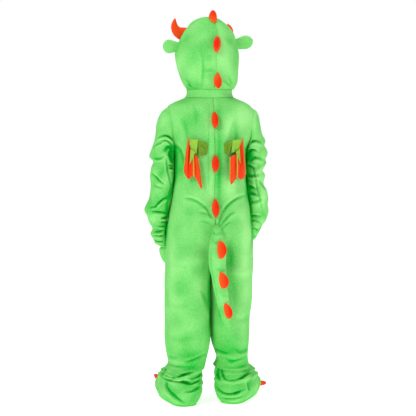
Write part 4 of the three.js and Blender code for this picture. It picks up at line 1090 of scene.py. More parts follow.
# %% [markdown]
# ## Foot covers
# The foot covers slouch over the instep in slanting folds and end in a flat sole. Each has a
# frame of its own, turned out from the body.

# %% Foot sizes
FEET = {LEFT: (86, math.radians(17)), RIGHT: (80, math.radians(38))}
BOOTIE = ring_table("height half_width heel toe tilt", [
    (ANKLE - SEAM, 58, 69, 72, 0),
    (108, 54, 63, 76, 3),
    (98, 62, 66, 92, 6),
    (88, 54, 58, 98, 8),
    (77, 63, 65, 117, 8),
    (65, 56, 58, 129, 6),
    (49, 60, 63, 148, 3),
    (32, 56, 61, 160, 0),
    (16, 49, 57, 162, 0),
    (SOLE + SEAM, 40, 49, 155, 0),
])
# The folds are softer on the inner side of the foot
BOOTIE_INNER = ring_table("half_width", [(w,) for w in (58, 58, 60, 59, 61, 60, 60, 57, 49, 40)])
FOOT_CREASES = {
    LEFT: [
        (170, 378.5, 186, 374.5, 201, 367.5, 1.5, -6.5, 0.6),
        (161, 377, 172, 380.5, 184, 380, 1.4, -4.5, -0.5),
        (178, 380.5, 186, 382, 193, 384.5, 1.6, -5.5, -0.5),
        (190, 380, 197, 377.5, 202, 373.5, 1.4, -4.5, 0.5),
        (191, 384, 196, 382, 201, 378, 1.4, -3.5, 0.5),
        (166.5, 382, 169, 391.5, 185, 404, 1.7, -6.0, 0.6),
        (162, 399, 167, 403, 173, 405, 1.4, -3.0, 0.4),
        (168, 366, 164, 371, 161, 378, 1.6, -4.0, 0.6),
        (176, 370, 184, 368, 192, 364.5, 1.4, -3.0, 0.5),
        (184, 392, 193, 391, 200, 386, 1.4, -3.0, 0.4),
    ],
    RIGHT: [
        (223, 378.5, 236, 380.5, 251, 371, 1.5, -6.0, 0.6),
        (235, 379.5, 240, 378.5, 245, 376, 1.5, -4.0, 0.4),
        (215, 386, 228, 394.5, 246, 388.5, 1.5, -4.5, 0.5),
        (233, 394.5, 237, 393.5, 241, 392, 1.5, -4.0, 0.4),
        (219.5, 364, 217.5, 372, 220, 381, 1.9, -5.0, 0.5),
        (221, 367, 222.5, 375, 226, 380, 1.3, -4.0, 0.5),
        (247.5, 381, 248.5, 387, 250, 391, 1.4, -3.0, 0.4),
        (217, 398, 228, 403.5, 242, 401.5, 1.4, -3.0, 0.4),
        (222, 397.5, 232, 399, 243, 396, 1.3, -2.5, 0.4),
    ],
}


def foot_point(side, ring, around):
    """A ring is a rounded oval, longer to the toe than to the heel, that tilts to one side."""
    ring, around = np.broadcast_arrays(np.asarray(ring, float), np.asarray(around, float))
    x, turn = FEET[side]
    angle = around * 2 * np.pi
    length = np.where(np.cos(angle) > 0, BOOTIE.toe(ring), BOOTIE.heel(ring))
    inner_side = ease(-np.sin(angle), 0, 0.5)
    half_width = mix(BOOTIE.half_width(ring), BOOTIE_INNER.half_width(ring), inner_side)
    across = side * half_width * power(np.sin(angle), 2 / FOOT_SQUARENESS)
    along = length * power(np.cos(angle), 2 / FOOT_SQUARENESS)
    height = BOOTIE.height(ring) + BOOTIE.tilt(ring) * np.sin(angle - side * 0.6)
    c, s = math.cos(-side * turn), math.sin(-side * turn)
    return xyz(side * x + across * c - along * s, across * s + along * c, height)


def bootie(side):
    """foot_point over rings and turns. The first ring is the leg's last one, and the creases
    keep off the ankle seam and the sole."""
    last = BOOTIE.last
    ring = np.linspace(0, last, 110)[:, None]
    around = np.arange(120)[None, :] / 120
    points = foot_point(side, ring, around)
    angle = np.arctan2(np.cos(around * 2 * np.pi), np.sin(around * 2 * np.pi))
    seat = body_point(side, ANKLE, -angle / np.pi) - [0, 0, SEAM_LINE]
    points = mix(points, seat, np.clip(1 - ring, 0, 1)[..., None])
    normal = outward_normals(points, True)
    ends = ease(ring, 0.1, 0.9) * ease(-ring, -last, -last + 1)
    fine = seen_creases(points, normal, narrower(FOOT_CREASES[side])) * FOOT_DEPTH
    fine = (fine + unevenness(points, 60, 2.0, side)) * ends
    moved = points + normal * fine[..., None]
    # Painted light and shade for the plush's colour
    painted_light_values = painted_light_and_nap_field(points, normal)
    name = f"plush_bootie_{WORDS[side]}"
    return grid_object(name, moved, True, fold=fine, nap_and_painted_light=painted_light_values), moved


def sole(side):
    """The last ring of the foot cover, drawn straight down to the ground and closed."""
    around = np.arange(120)[None, :] / 120
    rim = foot_point(side, BOOTIE.last, around)
    rows = [0.6, 0.97, 1.0, 1.0, 0.97, 0.6]
    drops = [SOLE, SOLE, SOLE - 0.6, 0.6, 0.0, 0.0]
    middle = rim.mean(1, keepdims=True)
    points = np.concatenate([mix(middle, rim, share) for share in rows])
    points[..., 2] = np.array(drops)[:, None]
    centre = middle[0, 0]
    poles = ([centre[0], centre[1], SOLE], [centre[0], centre[1], 0])
    return grid_object(f"sole_{WORDS[side]}_felt", points, True, poles=poles)


for side in (LEFT, RIGHT):
    piece, points = bootie(side)
    held = (*lengths_of(points, True), "gathered", [f"back_{WORDS[side]}", f"sole_{WORDS[side]}"])
    finish_piece(piece, [f"bootie_{WORDS[side]}"], "plush", PLUSH, held)
    finish_piece(sole(side), [f"sole_{WORDS[side]}"], "plush")
print("foot covers:", TALLY[-2:])

# %% [markdown]
# ## Stuffed pieces
# The spikes, claws, horns, ears and tail are sewn shut and filled. A spike or claw is a dome
# on an oval base that narrows to a leaf's point at both ends, and a horn or ear is a tube of
# ovals along a bent path. They are smooth closed forms whose seams the fill hides.


# %% Directions and domes
def unit(v):
    v = np.asarray(v, float)
    return v / np.linalg.norm(v)


def away_from(heart, centre, direction):
    out = unit(direction)
    return out if out @ (np.asarray(centre) - heart) > 0 else -out


def back_y(height):
    """y of the centre back at a height."""
    return body_point(LEFT, height, np.ones_like(np.asarray(height, float)))[..., 1]


DOME_SINK, HORN_SINK = 2.0, 2.5


def dome(
    name, centre, across, along, out, width, length, height, lean=0.0, leaf=0.25, ground=None
):
    """across * cos * narrow + along * sin + out * height, where the level rises from the base
    to the tip and the cosine of the level draws the ring in. Leaf narrows the two ends."""
    level = np.radians(np.concatenate([[0, 0], np.linspace(3, 87, 22)]))[:, None]
    sink = np.zeros_like(level)
    sink[0] = DOME_SINK
    angle = np.arange(44)[None, :] / 44 * 2 * np.pi
    ring = np.cos(level)
    narrow = 1 - leaf * np.abs(np.sin(angle)) ** 3
    a = (width / 2) * np.cos(angle) * ring * narrow
    b = (length / 2) * np.sin(angle) * ring
    points = centre + a[..., None] * across + b[..., None] * along
    base = np.asarray(centre, float)
    if ground is not None:
        points, base = ground(points), ground(base[None, None])[0, 0]
    rise = height * np.sin(level) - sink
    points = points + (rise * np.ones_like(a))[..., None] * out
    points = points + (lean * height * np.sin(level) * np.ones_like(a))[..., None] * across
    tip = base + out * height + across * lean * height
    # Painted sheen and shade: the velvet's colour is pale round the rim, where it is seen on edge,
    # and deep over the crown
    painted_light_values = 0.75 - 1.7 * np.sin(level) * np.ones_like(a)
    return grid_object(name, points, True, poles=(base - out * DOME_SINK, tip), nap_and_painted_light=painted_light_values)


# %% Spikes on the back
X, Z = np.array([1.0, 0, 0]), np.array([0, 0, 1.0])
SPIKE_GAP, TAIL_SPIKE_GAP, HOOD_SPIKE_GAP, CLAW_GAP = 0.5, 0.8, 0.25, -0.2
# name, height, width, length, how far it stands off
BACK_SPIKES = [
    ("spike_back_upper", 907, 21, 51, 26),
    ("spike_back_middle", 773, 22, 54, 28),
    ("spike_back_lower", 636, 22, 57, 28),
]


def on_back(points):
    points = points.copy()
    points[..., 1] = back_y(points[..., 2]) - SPIKE_GAP
    return points


for node, height, width, length, stand in BACK_SPIKES:
    middle, out = [0, 0, height], -np.array([0, 1.0, 0])
    piece = dome("stuffed_" + node, middle, X, Z, out, width, length, stand, ground=on_back)
    finish_piece(piece, [node], "trim_orange")

# %% Tail
TAIL = ring_table("x y height radius", [
    (0, -109.5, 575, 12),
    (0, -122, 572, 14),
    (-1, -133, 561, 17),
    (-2, -137, 540, 22),
    (-2, -138, 512, 26.5),
    (-1, -136, 485, 27),
    (1, -132, 458, 26),
    (5, -128, 430, 24),
    (10, -123, 400, 22),
    (16, -118, 370, 20.5),
    (23, -113, 338, 19),
    (31, -109, 306, 16),
    (37, -106, 282, 11.5),
    (42, -104, 264, 5.5),
])
TAIL_SPIKES = [
    ("spike_tail_upper", 3.9, 15, 56, 20.4, 0.7),
    ("spike_tail_middle", 7.3, 15, 56, 19.5, 0.85),
    ("spike_tail_lower", 10.55, 14, 54, 17.9, 0.7),
]
TAIL_SPIKE_AROUND, TAIL_SEAM_AROUND = 0.23, 0.41
TAIL_CREASES = [
    (211, 231, 217, 234, 224, 232, 1.4, -2.5, 0.4),
    (212, 239, 217, 243, 224, 240, 1.6, -2.0, 0.4),
    (217, 268, 222, 271, 228, 268, 1.6, -2.0, 0.4),
    (221, 292, 226, 296, 232, 293, 1.6, -1.8, 0.4),
]


def tail_point(ring, around):
    """Flattened circles square to the tail's path, which falls from the seat over one leg."""
    ring, around = np.broadcast_arrays(np.asarray(ring, float), np.asarray(around, float))
    middle = xyz(TAIL.x(ring), TAIL.y(ring), TAIL.height(ring))
    ahead, behind = np.minimum(ring + 0.2, TAIL.last), np.maximum(ring - 0.2, 0)
    way = xyz(TAIL.x(ahead), TAIL.y(ahead), TAIL.height(ahead))
    way = way - xyz(TAIL.x(behind), TAIL.y(behind), TAIL.height(behind))
    way /= np.linalg.norm(way, axis=-1, keepdims=True)
    side = X - way * way[..., :1]
    side /= np.linalg.norm(side, axis=-1, keepdims=True)
    back = np.cross(side, way)
    angle = around * 2 * np.pi
    flat = np.where(ring > 3, 0.82, 1 - 0.06 * ring)
    radius = TAIL.radius(ring)
    return (
        middle
        + side * (radius * np.cos(angle))[..., None]
        - back * (radius * flat * np.sin(angle))[..., None]
    )


def tail():
    """tail_point over rings and turns. Its first ring lies on the seat, a seam runs down its
    left side, and the fill leaves it a little lumpy."""
    ring = np.linspace(0, TAIL.last, 170)[:, None]
    around = np.arange(72)[None, :] / 72
    points = tail_point(np.maximum(ring, 1), around)
    root = tail_point(0, around)
    root[..., 1] = back_y(root[..., 2]) - SEAM + 1.5
    points = mix(points, root, np.clip(1 - ring, 0, 1)[..., None] ** 1.2)
    normal = outward_normals(points, True)
    ends = ease(ring, 0.5, 2) * ease(-ring, -TAIL.last, -TAIL.last + 1.5)
    seam_distance = (around - TAIL_SEAM_AROUND) * 2 * np.pi * TAIL.radius(ring)
    fine = seam_pull(seam_distance, 1.8, 3.0) + unevenness(points, 60, 1.2, 2)
    fine = fine + seen_creases(points, normal, TAIL_CREASES)
    moved = points + normal * (fine * ends)[..., None]
    start = root.mean((0, 1))
    tip = tail_point(TAIL.last, around).mean((0, 1)) + [1.5, 0.5, -4]
    return grid_object("stuffed_tail", moved, True, poles=(start, tip), fold=fine * ends)


finish_piece(tail(), ["tail"], "plush")

for node, ring, width, length, stand, lean in TAIL_SPIKES:
    centre = tail_point(ring, TAIL_SPIKE_AROUND)
    below, above = (tail_point(ring + step, TAIL_SPIKE_AROUND) for step in (0.4, -0.4))
    along = unit(below - above)
    across = tail_point(ring, TAIL_SPIKE_AROUND - 0.02) - tail_point(ring, TAIL_SPIKE_AROUND + 0.02)
    across = unit(across - along * (across @ along))
    out = unit(np.cross(across, along))
    out = -out if out[1] > 0 else out
    centre = centre + out * TAIL_SPIKE_GAP
    piece = dome("stuffed_" + node, centre, across, along, out, width, length, stand, lean)
    finish_piece(piece, [node], "trim_orange")

# %% Spikes, horns and ears on the hood
HOOD_HEART = np.array([0, 0, 1100.0])
HOOD_SPIKES = [
    ("spike_hood_top", 10.8, 21, 42, 27, 0.0),
    ("spike_hood_back", 6.15, 23, 50, 26, -0.35),
    ("spike_hood_nape", 2.35, 21, 50, 27, 0.15),
]
for node, row, width, length, stand, lean in HOOD_SPIKES:
    centre = hood_point(RIGHT, row, 1)
    along = unit(hood_point(RIGHT, row + 0.8, 1) - hood_point(RIGHT, row - 0.8, 1))
    across = np.array([math.cos(HOOD_TURN), math.sin(HOOD_TURN), 0])
    out = away_from(HOOD_HEART, centre, np.cross(along, across))
    centre = centre + out * HOOD_SPIKE_GAP
    piece = dome("stuffed_" + node, centre, across, along, out, width, length, stand, lean)
    finish_piece(piece, [node], "trim_orange")

HORN = [
    (0, 0, 0, 45, 38),
    (12, 1, 2, 39, 34),
    (22, 2, 8, 33, 28),
    (29, 3, 18, 26, 22),
    (31, 4, 29, 19, 16),
    (30, 5, 40, 11, 10),
    (28, 6, 48, 3, 3),
]
# The right horn bends in toward the hood
HORN_BENT = [
    (0, 0, 0, 45, 38),
    (12, 1, 2, 39, 34),
    (21, 2, 7, 33, 28),
    (26, 3, 15, 26, 22),
    (27, 4, 24, 19, 16),
    (24, 5, 33, 11, 10),
    (20, 6, 39, 3, 3),
]
EAR = [
    (0, 0, 0, 30, 17),
    (10, 0, 0, 33, 19),
    (25, 1, 3, 39, 21),
    (40, 2, 6, 42, 20),
    (52, 2, 8, 34, 16),
    (60, 2, 9, 18, 9),
    (62, 2, 9, 6, 3),
]
EAR_PUSHED = [(out * 0.74, forward, up * 0.2, *size) for out, forward, up, *size in EAR]


def hood_spot(side, row, turn):
    """A place on the hood and the direction outward there."""
    centre = hood_point(side, row, turn)
    up = hood_point(side, row + 0.2, turn) - hood_point(side, row - 0.2, turn)
    across = hood_point(side, row, turn + 0.04) - hood_point(side, row, turn - 0.04)
    return centre, away_from(HOOD_HEART, centre, np.cross(up, across))


def horn(name, side, row, turn, seat, rows):
    """Ovals square to a path that leaves the hood and bends: the table gives how far out,
    forward and up the path is, and the oval's height and depth."""
    path = ring_table("out forward up width depth", rows)
    centre, out = hood_spot(side, row, turn)
    centre = centre + out * (SEAM + seat)
    level = side * np.array([math.cos(HOOD_TURN), math.sin(HOOD_TURN), 0])
    ahead = np.array([-math.sin(HOOD_TURN), math.cos(HOOD_TURN), 0])

    def at(i):
        steps = (path.out(i), path.forward(i), path.up(i))
        return centre + sum(np.asarray(d)[..., None] * v for d, v in zip(steps, (level, ahead, Z)))

    i = np.linspace(0, path.last, 46)
    j = np.clip(i, 1, None)
    way = at(np.minimum(j + 0.3, path.last)) - at(j - 0.3)
    way /= np.linalg.norm(way, axis=-1, keepdims=True)
    way = mix(np.broadcast_to(out, way.shape), way, np.clip(i, 0, 1)[:, None])
    way /= np.linalg.norm(way, axis=-1, keepdims=True)
    flat = ahead - way * (way @ ahead)[:, None]
    flat /= np.linalg.norm(flat, axis=-1, keepdims=True)
    tall = np.cross(way, flat)
    angle = np.arange(52)[None, :, None] / 52 * 2 * np.pi
    points = at(i)[:, None] + tall[:, None] * path.width(i)[:, None, None] / 2 * np.cos(angle)
    points = points + flat[:, None] * path.depth(i)[:, None, None] / 2 * np.sin(angle)
    points[0] -= out * HORN_SINK
    tip = at(path.last) + way[-1] * 0.8
    return grid_object(name, points, True, poles=(centre - out * HORN_SINK, tip))


for side in (LEFT, RIGHT):
    row, turn, rows = (8.25, -0.34, HORN) if side == LEFT else (8, -0.38, HORN_BENT)
    piece = horn(f"stuffed_horn_{WORDS[side]}", side, row, turn, 0.1, rows)
    finish_piece(piece, [f"horn_{WORDS[side]}"], "trim_orange")
    row, rows = (5.95, EAR_PUSHED) if side == LEFT else (6.4, EAR)
    piece = horn(f"stuffed_ear_{WORDS[side]}", side, row, -0.02, 0.05, rows)
    finish_piece(piece, [f"ear_{WORDS[side]}"], "plush")

# %% Claws
CLAWS = {
    LEFT: (6.05, {"inner": -0.07, "middle": -0.015, "outer": 0.038}),
    RIGHT: (7.3, {"inner": -0.06, "middle": 0.005, "outer": 0.07}),
}
# Width, length and how far it stands off
CLAW_SIZE = (21, 19, 22)
for side, (ring, places) in CLAWS.items():
    for place, around in places.items():
        centre = foot_point(side, ring, around)
        across = unit(foot_point(side, ring, around + 0.01) - foot_point(side, ring, around - 0.01))
        along = unit(foot_point(side, ring - 0.4, around) - foot_point(side, ring + 0.4, around))
        heart = mix(foot_point(side, ring, 0), foot_point(side, ring, 0.5), 0.5)
        out = away_from(heart, centre, np.cross(across, along))
        centre = centre + out * CLAW_GAP
        node = f"claw_{WORDS[side]}_{place}"
        piece = dome("stuffed_" + node, centre, across, along, out, *CLAW_SIZE, leaf=0.0)
        finish_piece(piece, [node], "trim_orange")
print("pieces so far:", len(PIECES))

# %% [markdown]
# ## Front placket and wings
# A plain strip of plush covers the front opening. The wings are small and droop: an olive foil
# root at the back, a lime arm, and an orange satin membrane that hangs in pleats from it, its
# edges bound with a lime piping. Each is worked out as its distance from the back's surface.

# %% Placket
PLACKET_HALF_WIDTH, PLACKET_GAP, PLACKET_LOW = 15.0, 0.6, 630.0


def placket():
    """The centre front's depth plus a small gap, over a strip's width."""
    height = np.linspace(968, PLACKET_LOW, 120)[:, None]
    u = np.linspace(-1, 1, 15)[None, :]
    front = body_point(LEFT, height, -1 * np.ones_like(height))[..., 1]
    lift = PLACKET_GAP + PLUSH + unevenness(xyz(u * 15, 0 * height, height), 70, 0.6, 3)
    soft = -0.8 * np.abs(u) ** 6
    points = xyz(u * PLACKET_HALF_WIDTH, front + lift + soft, height * np.ones_like(u))
    return grid_object("plush_front_placket", points, outward=[0, 1, 0]), points


piece, points = placket()
held = (*lengths_of(points), "hung", ["front_left"])
finish_piece(piece, ["front_placket"], "plush", PLUSH, held)

# %% Wing sizes
# The left membrane's rows and the left root's and leaf's corners are the printed output of a scratch
# program that isn't part of this lesson. It turned places read by eye in the camera's frame into x
# and height on the back. The left arm and the right root are those values with a few changed by up to
# 3 mm. The right membrane starts from the left one and was changed to meet the corners that the
# program printed, and the right arm and leaf follow from these.
WING_LIFT = 18.0
WING_GRID, PATCH_STEPS, PIPING_STEPS, PIPING_SIDES = (68, 150), 44, 60, 12
MEMBRANE = {
    LEFT: ring_table("top_x top low_x low lift", [
        (86, 853, 96, 751, 0),
        (84, 850, 92, 739, 9),
        (82, 838, 86, 729, 2),
        (79, 825, 80, 727, -7),
        (77, 816, 76, 733, 0),
        (72, 804, 70, 735, 9),
        (68, 801, 62, 729, 4),
        (64, 801, 54, 711, 10),
        (60, 798, 47, 697, 8),
        (54, 789, 42, 706, -2),
    ]),
    RIGHT: ring_table("top_x top low_x low lift", [
        (86, 853, 103, 738, 0),
        (84, 850, 97, 731, 9),
        (81, 838, 90, 724, 2),
        (77, 825, 82, 723, -7),
        (73, 816, 75, 729, 0),
        (67, 804, 68, 729, 9),
        (61, 801, 60, 722, 4),
        (56, 801, 53, 714, 10),
        (50, 798, 47, 710, 8),
        (43, 794, 44, 720, -2),
    ]),
}
# Corners run outer top, inner top, inner low, outer low: x, height and lift
WING_ROOT = {
    LEFT: [(55, 848, 17), (23, 836, 2), (26, 803, 2), (54, 795, 16.5)],
    RIGHT: [(51.3, 845, 17), (27, 835, 1.3), (28, 806, 1.3), (39, 797, 16.5)],
}
WING_ARM = {
    LEFT: [(82.5, 849.5, 19), (55.5, 848, 17.5), (61, 803, 17.5), (75.5, 815, 19)],
    RIGHT: [(82.5, 849.5, 19), (52.4, 845, 17.5), (48, 806, 17.5), (71.5, 815, 19)],
}
WING_LEAF = {
    LEFT: [(78, 820, 23), (66, 809, 26), (75, 786, 27), (81, 773, 23)],
    RIGHT: [(75, 820, 23), (61, 809, 26), (72, 786, 27), (79, 773, 23)],
}


def back_point(side, x, height, lift):
    """A place off the back's surface: x from the middle, and lift outward."""
    depth = width_at(TORSO.back(height), TORSO.half_width(height), x, TORSO_SQUARENESS)
    return xyz(side * x, -depth - lift, height)


def membrane_point(side, column, down, extra=0.0):
    """The membrane hangs from its top edge. Its pleats are the table's lift, shallower at the
    top and bottom and deepest about half way down, with finer ones between them."""
    column, down = np.broadcast_arrays(np.asarray(column, float), np.asarray(down, float))
    table = MEMBRANE[side]
    x = mix(table.top_x(column), table.low_x(column), down)
    height = mix(table.top(column), table.low(column), down)
    pleat = 0.25 + 0.75 * np.sin(np.pi * (0.15 + 0.75 * down))
    fine = 1.3 * np.sin(column * 5.1 + 0.8 * side) * np.sin(np.pi * np.clip(down * 1.1, 0, 1))
    return back_point(side, x, height, WING_LIFT + table.lift(column) * pleat + fine + extra)


def patch(name, side, corners, ripple):
    """A four-sided cloth patch: its corners mixed over two ways, with soft slanted waves."""
    i = np.linspace(0, 1, PATCH_STEPS)[:, None]
    j = np.linspace(0, 1, PATCH_STEPS)[None, :]
    a, b, c, d = (np.array(corner, float) for corner in corners)
    place = mix(mix(a, b, j[..., None]), mix(d, c, j[..., None]), i[..., None])
    wave = ripple * np.sin(9.5 * i + 3.5 * j) * np.sin(np.pi * j)
    cross = ripple * 0.4 * np.sin(17 * i - 11 * j + side)
    wave = wave + cross * np.sin(np.pi * j) * np.sin(np.pi * i)
    points = back_point(side, place[..., 0], place[..., 1], place[..., 2] + wave)
    return grid_object(name, points, outward=[0, -1, 0]), points


def piping(name, path, radius):
    """A thin cord of folded cloth: circles of the radius, square to the path, closed by poles."""
    way = np.gradient(path, axis=0)
    way /= np.linalg.norm(way, axis=-1, keepdims=True)
    side = np.cross(way, [0, 1.0, 0])
    side /= np.linalg.norm(side, axis=-1, keepdims=True)
    up = np.cross(side, way)
    angle = np.arange(PIPING_SIDES)[None, :, None] / PIPING_SIDES * 2 * np.pi
    points = path[:, None] + radius * (side[:, None] * np.cos(angle) + up[:, None] * np.sin(angle))
    poles = (path[0] - way[0] * radius, path[-1] + way[-1] * radius)
    return grid_object(name, points, True, poles=poles)


# %% Wings
# column of the membrane, how far down the piping ends, radius
PIPINGS = [
    ("outer", 0.0, 1.0, 1.3),
    ("middle", 5.2, 0.98, 1.6),
    ("inner", 9.0, 1.0, 1.8),
]
for side in (LEFT, RIGHT):
    word = WORDS[side]
    rows, columns = WING_GRID
    column = np.linspace(0, MEMBRANE[side].last, columns)[None, :]
    down = np.linspace(0, 1, rows)[:, None]
    points = membrane_point(side, column, down)
    for place, at, end, radius in PIPINGS:
        run = np.linspace(0, end, PIPING_STEPS)
        path = membrane_point(side, at, run, 0.3)
        cord = piping(f"piping_{place}_{word}", path, radius)
        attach(cord, "root")
        PIECES.append((cord, "wing_lime"))
    wing = grid_object(f"satin_membrane_{word}", points, outward=[0, -1, 0])
    held = (*lengths_of(points), "gathered", [f"wing_arm_{word}"])
    finish_piece(wing, [f"wing_membrane_{word}"], "wing_orange", SATIN, held)
    for part, corners, slot, ripple, node in (
        ("foil_root", WING_ROOT[side], "wing_olive", 2.5, f"wing_root_{word}"),
        ("satin_arm", WING_ARM[side], "wing_lime", 1.0, f"wing_arm_{word}"),
        ("satin_leaf", WING_LEAF[side], "wing_lime", 0.6, None),
    ):
        piece, points = patch(f"{part}_{word}", side, corners, ripple)
        held = (*lengths_of(points), "stretched", [f"back_{word}"])
        finish_piece(piece, [node] if node else [], slot, SATIN, held)
print("pieces:", len(PIECES))

# %% [markdown]
# ## Finishes
# Short-pile plush is thousands of standing fibres. From this distance they read as a soft bright
# face. Its colour has painted shade in the troughs of creases and painted highlights on their ridges,
# and painted light and shade in patches and along the grooves between pieces, in places also the
# pile's nap brushed the other way. One shader group gives that to the green cloth and to the orange
# velvet of the spikes and horns, each with its own colours; on the spikes and claws it paints a sheen
# round the rim. The wings are shiny, so they get a second group with the fine ribs of a satin weave
# along the cloth's own UV map, and painted glints on the olive foil.


# %% Node helpers
def linear(red, green, blue):
    """A colour given as it looks on a screen, 0 to 255, as the numbers that Blender mixes."""
    c = np.array([red, green, blue]) / 255
    return (*np.where(c <= 0.04045, c / 12.92, ((c + 0.055) / 1.055) ** 2.4), 1.0)


def add(tree, kind, inputs=(), **settings):
    """A node with its settings, and its inputs given as values or as other nodes' outputs."""
    node = tree.nodes.new(kind)
    for key, value in settings.items():
        setattr(node, key, value)
    for key, value in dict(inputs).items():
        if isinstance(value, bpy.types.NodeSocket):
            tree.links.new(value, node.inputs[key])
        else:
            node.inputs[key].default_value = value
    return node


def calc(tree, operation, a, b=0.0, clamp=False):
    node = add(tree, "ShaderNodeMath", {0: a, 1: b}, operation=operation, use_clamp=clamp)
    return node.outputs[0]


def blend_color(tree, share, a, b):
    node = add(tree, "ShaderNodeMix", {"Factor": share}, data_type="RGBA")
    for socket, value in ((node.inputs[6], a), (node.inputs[7], b)):
        if isinstance(value, bpy.types.NodeSocket):
            tree.links.new(value, socket)
        else:
            socket.default_value = value
    return node.outputs[2]


def new_group(name, inputs, outputs):
    group = bpy.data.node_groups.new(name, "ShaderNodeTree")
    for label, kind, value in inputs:
        socket = group.interface.new_socket(label, in_out="INPUT", socket_type=kind)
        socket.default_value = value
    for label, kind in outputs:
        group.interface.new_socket(label, in_out="OUTPUT", socket_type=kind)
    return group, add(group, "NodeGroupInput").outputs, add(group, "NodeGroupOutput").inputs


def noise(tree, where, scale, detail=2.0, roughness=0.5, distortion=0.0):
    inputs = {"Vector": where, "Scale": scale, "Detail": detail, "Roughness": roughness}
    node = add(tree, "ShaderNodeTexNoise", {**inputs, "Distortion": distortion})
    return node.outputs["Fac"]


# %% Pile and satin groups
COLOR, FLOAT = "NodeSocketColor", "NodeSocketFloat"
pile, given, out = new_group(
    "short_pile",
    [("Tip", COLOR, (1, 1, 1, 1)), ("Base", COLOR, (0, 0, 0, 1)), ("Patches", FLOAT, 0.3)],
    [("Color", COLOR), ("Roughness", FLOAT), ("Height", FLOAT)],
)
place = add(pile, "ShaderNodeTexCoord").outputs["Object"]
# A low noise for the random mottling of the pile's nap
nap_and_painted_light = noise(pile, place, 14, 3, 0.55, 0.6)
tufts = noise(pile, place, 230, 2, 0.6)
fibres = noise(pile, place, 1100, 1, 0.5)
lifted = add(pile, "ShaderNodeAttribute", attribute_name="fold").outputs["Fac"]
# Painted light and shade, in places with the pile's nap, from the mesh attribute
painted_light_attribute = add(pile, "ShaderNodeAttribute", attribute_name="nap_and_painted_light").outputs["Fac"]
# Painted shade in crease troughs and painted highlight on the ridges: the mix goes toward Base where
# the fold sinks the cloth and toward Tip where it lifts it
fold_range = {"Value": lifted, "From Min": -6.0, "From Max": 2.5}
fold_shade_share = add(pile, "ShaderNodeMapRange", fold_range).outputs[0]
share = calc(pile, "MULTIPLY", calc(pile, "SUBTRACT", nap_and_painted_light, 0.5), given["Patches"])
share = calc(pile, "ADD", share, calc(pile, "MULTIPLY", calc(pile, "SUBTRACT", tufts, 0.5), 0.55))
share = calc(pile, "ADD", share, calc(pile, "MULTIPLY", painted_light_attribute, 0.55))
share = calc(pile, "ADD", share, calc(pile, "MULTIPLY", fold_shade_share, 0.85), clamp=True)
pile.links.new(blend_color(pile, share, given["Base"], given["Tip"]), out["Color"])
rough = calc(pile, "ADD", calc(pile, "MULTIPLY", tufts, 0.2), 0.72)
pile.links.new(rough, out["Roughness"])
height = calc(pile, "ADD", calc(pile, "MULTIPLY", tufts, 0.7), calc(pile, "MULTIPLY", fibres, 0.3))
pile.links.new(height, out["Height"])

satin, given, out = new_group(
    "satin_weave",
    [("Face", COLOR, (1, 1, 1, 1)), ("Shade", COLOR, (0, 0, 0, 1)), ("Painted_Glint", FLOAT, 0.0)],
    [("Color", COLOR), ("Roughness", FLOAT), ("Height", FLOAT)],
)
flat_place = add(satin, "ShaderNodeUVMap", uv_map="flat_cloth").outputs[0]
rib_wave = {"Vector": flat_place, "Scale": 320.0, "Distortion": 0.6}
ribs = add(satin, "ShaderNodeTexWave", rib_wave).outputs["Fac"]
place = add(satin, "ShaderNodeTexCoord").outputs["Object"]
sparkle = noise(satin, place, 320, 2, 0.7)
clouds = noise(satin, place, 60, 3, 0.6, 0.8)
share = calc(satin, "ADD", calc(satin, "MULTIPLY", ribs, 0.25), calc(satin, "MULTIPLY", clouds, 0.75))
# Painted glints: bright specks of the noise mixed into the colour, used on the olive foil
bright = calc(satin, "MULTIPLY", calc(satin, "SUBTRACT", sparkle, 0.5), given["Painted_Glint"])
share = calc(satin, "ADD", share, calc(satin, "MULTIPLY", bright, 4.0), clamp=True)
satin.links.new(blend_color(satin, share, given["Shade"], given["Face"]), out["Color"])
rough = calc(satin, "ADD", calc(satin, "MULTIPLY", clouds, 0.25), 0.25)
satin.links.new(rough, out["Roughness"])
height = calc(satin, "ADD", calc(satin, "MULTIPLY", ribs, 0.6), calc(satin, "MULTIPLY", sparkle, 0.4))
satin.links.new(height, out["Height"])

# %% Materials
PILE_SHEEN = {"Sheen Weight": 0.1, "Sheen Roughness": 0.4, "Specular IOR Level": 0.15}
SATIN_SHEEN = {"Sheen Weight": 0.05, "Specular IOR Level": 0.3}
# group, its values, bump distance in metres, then the shader's own numbers
# In the pile group the mix toward Base is partly painted shade, and toward Tip partly painted
# highlight
FINISHES = {
    "plush": (
        pile,
        {"Tip": linear(154, 234, 136), "Base": linear(0, 182, 50), "Patches": 0.45},
        0.0010,
        {**PILE_SHEEN, "Sheen Tint": linear(160, 255, 130)},
    ),
    "trim_orange": (
        pile,
        {"Tip": linear(255, 92, 26), "Base": linear(232, 20, 0), "Patches": 0.35},
        0.0009,
        {**PILE_SHEEN, "Sheen Tint": linear(255, 130, 70)},
    ),
    "wing_orange": (
        satin,
        {"Face": linear(255, 86, 14), "Shade": linear(250, 40, 0), "Painted_Glint": 0.0},
        0.0003,
        {**SATIN_SHEEN, "Sheen Roughness": 0.3, "Sheen Tint": linear(255, 150, 90)},
    ),
    "wing_olive": (
        satin,
        {"Face": linear(140, 186, 24), "Shade": linear(72, 124, 0), "Painted_Glint": 0.25},
        0.0005,
        {"Metallic": 0.05, "Specular IOR Level": 0.4},
    ),
    "wing_lime": (
        satin,
        {"Face": linear(160, 208, 66), "Shade": linear(124, 184, 34), "Painted_Glint": 0.0},
        0.0003,
        {**SATIN_SHEEN, "Sheen Tint": linear(230, 255, 150)},
    ),
}
MATERIALS = {}
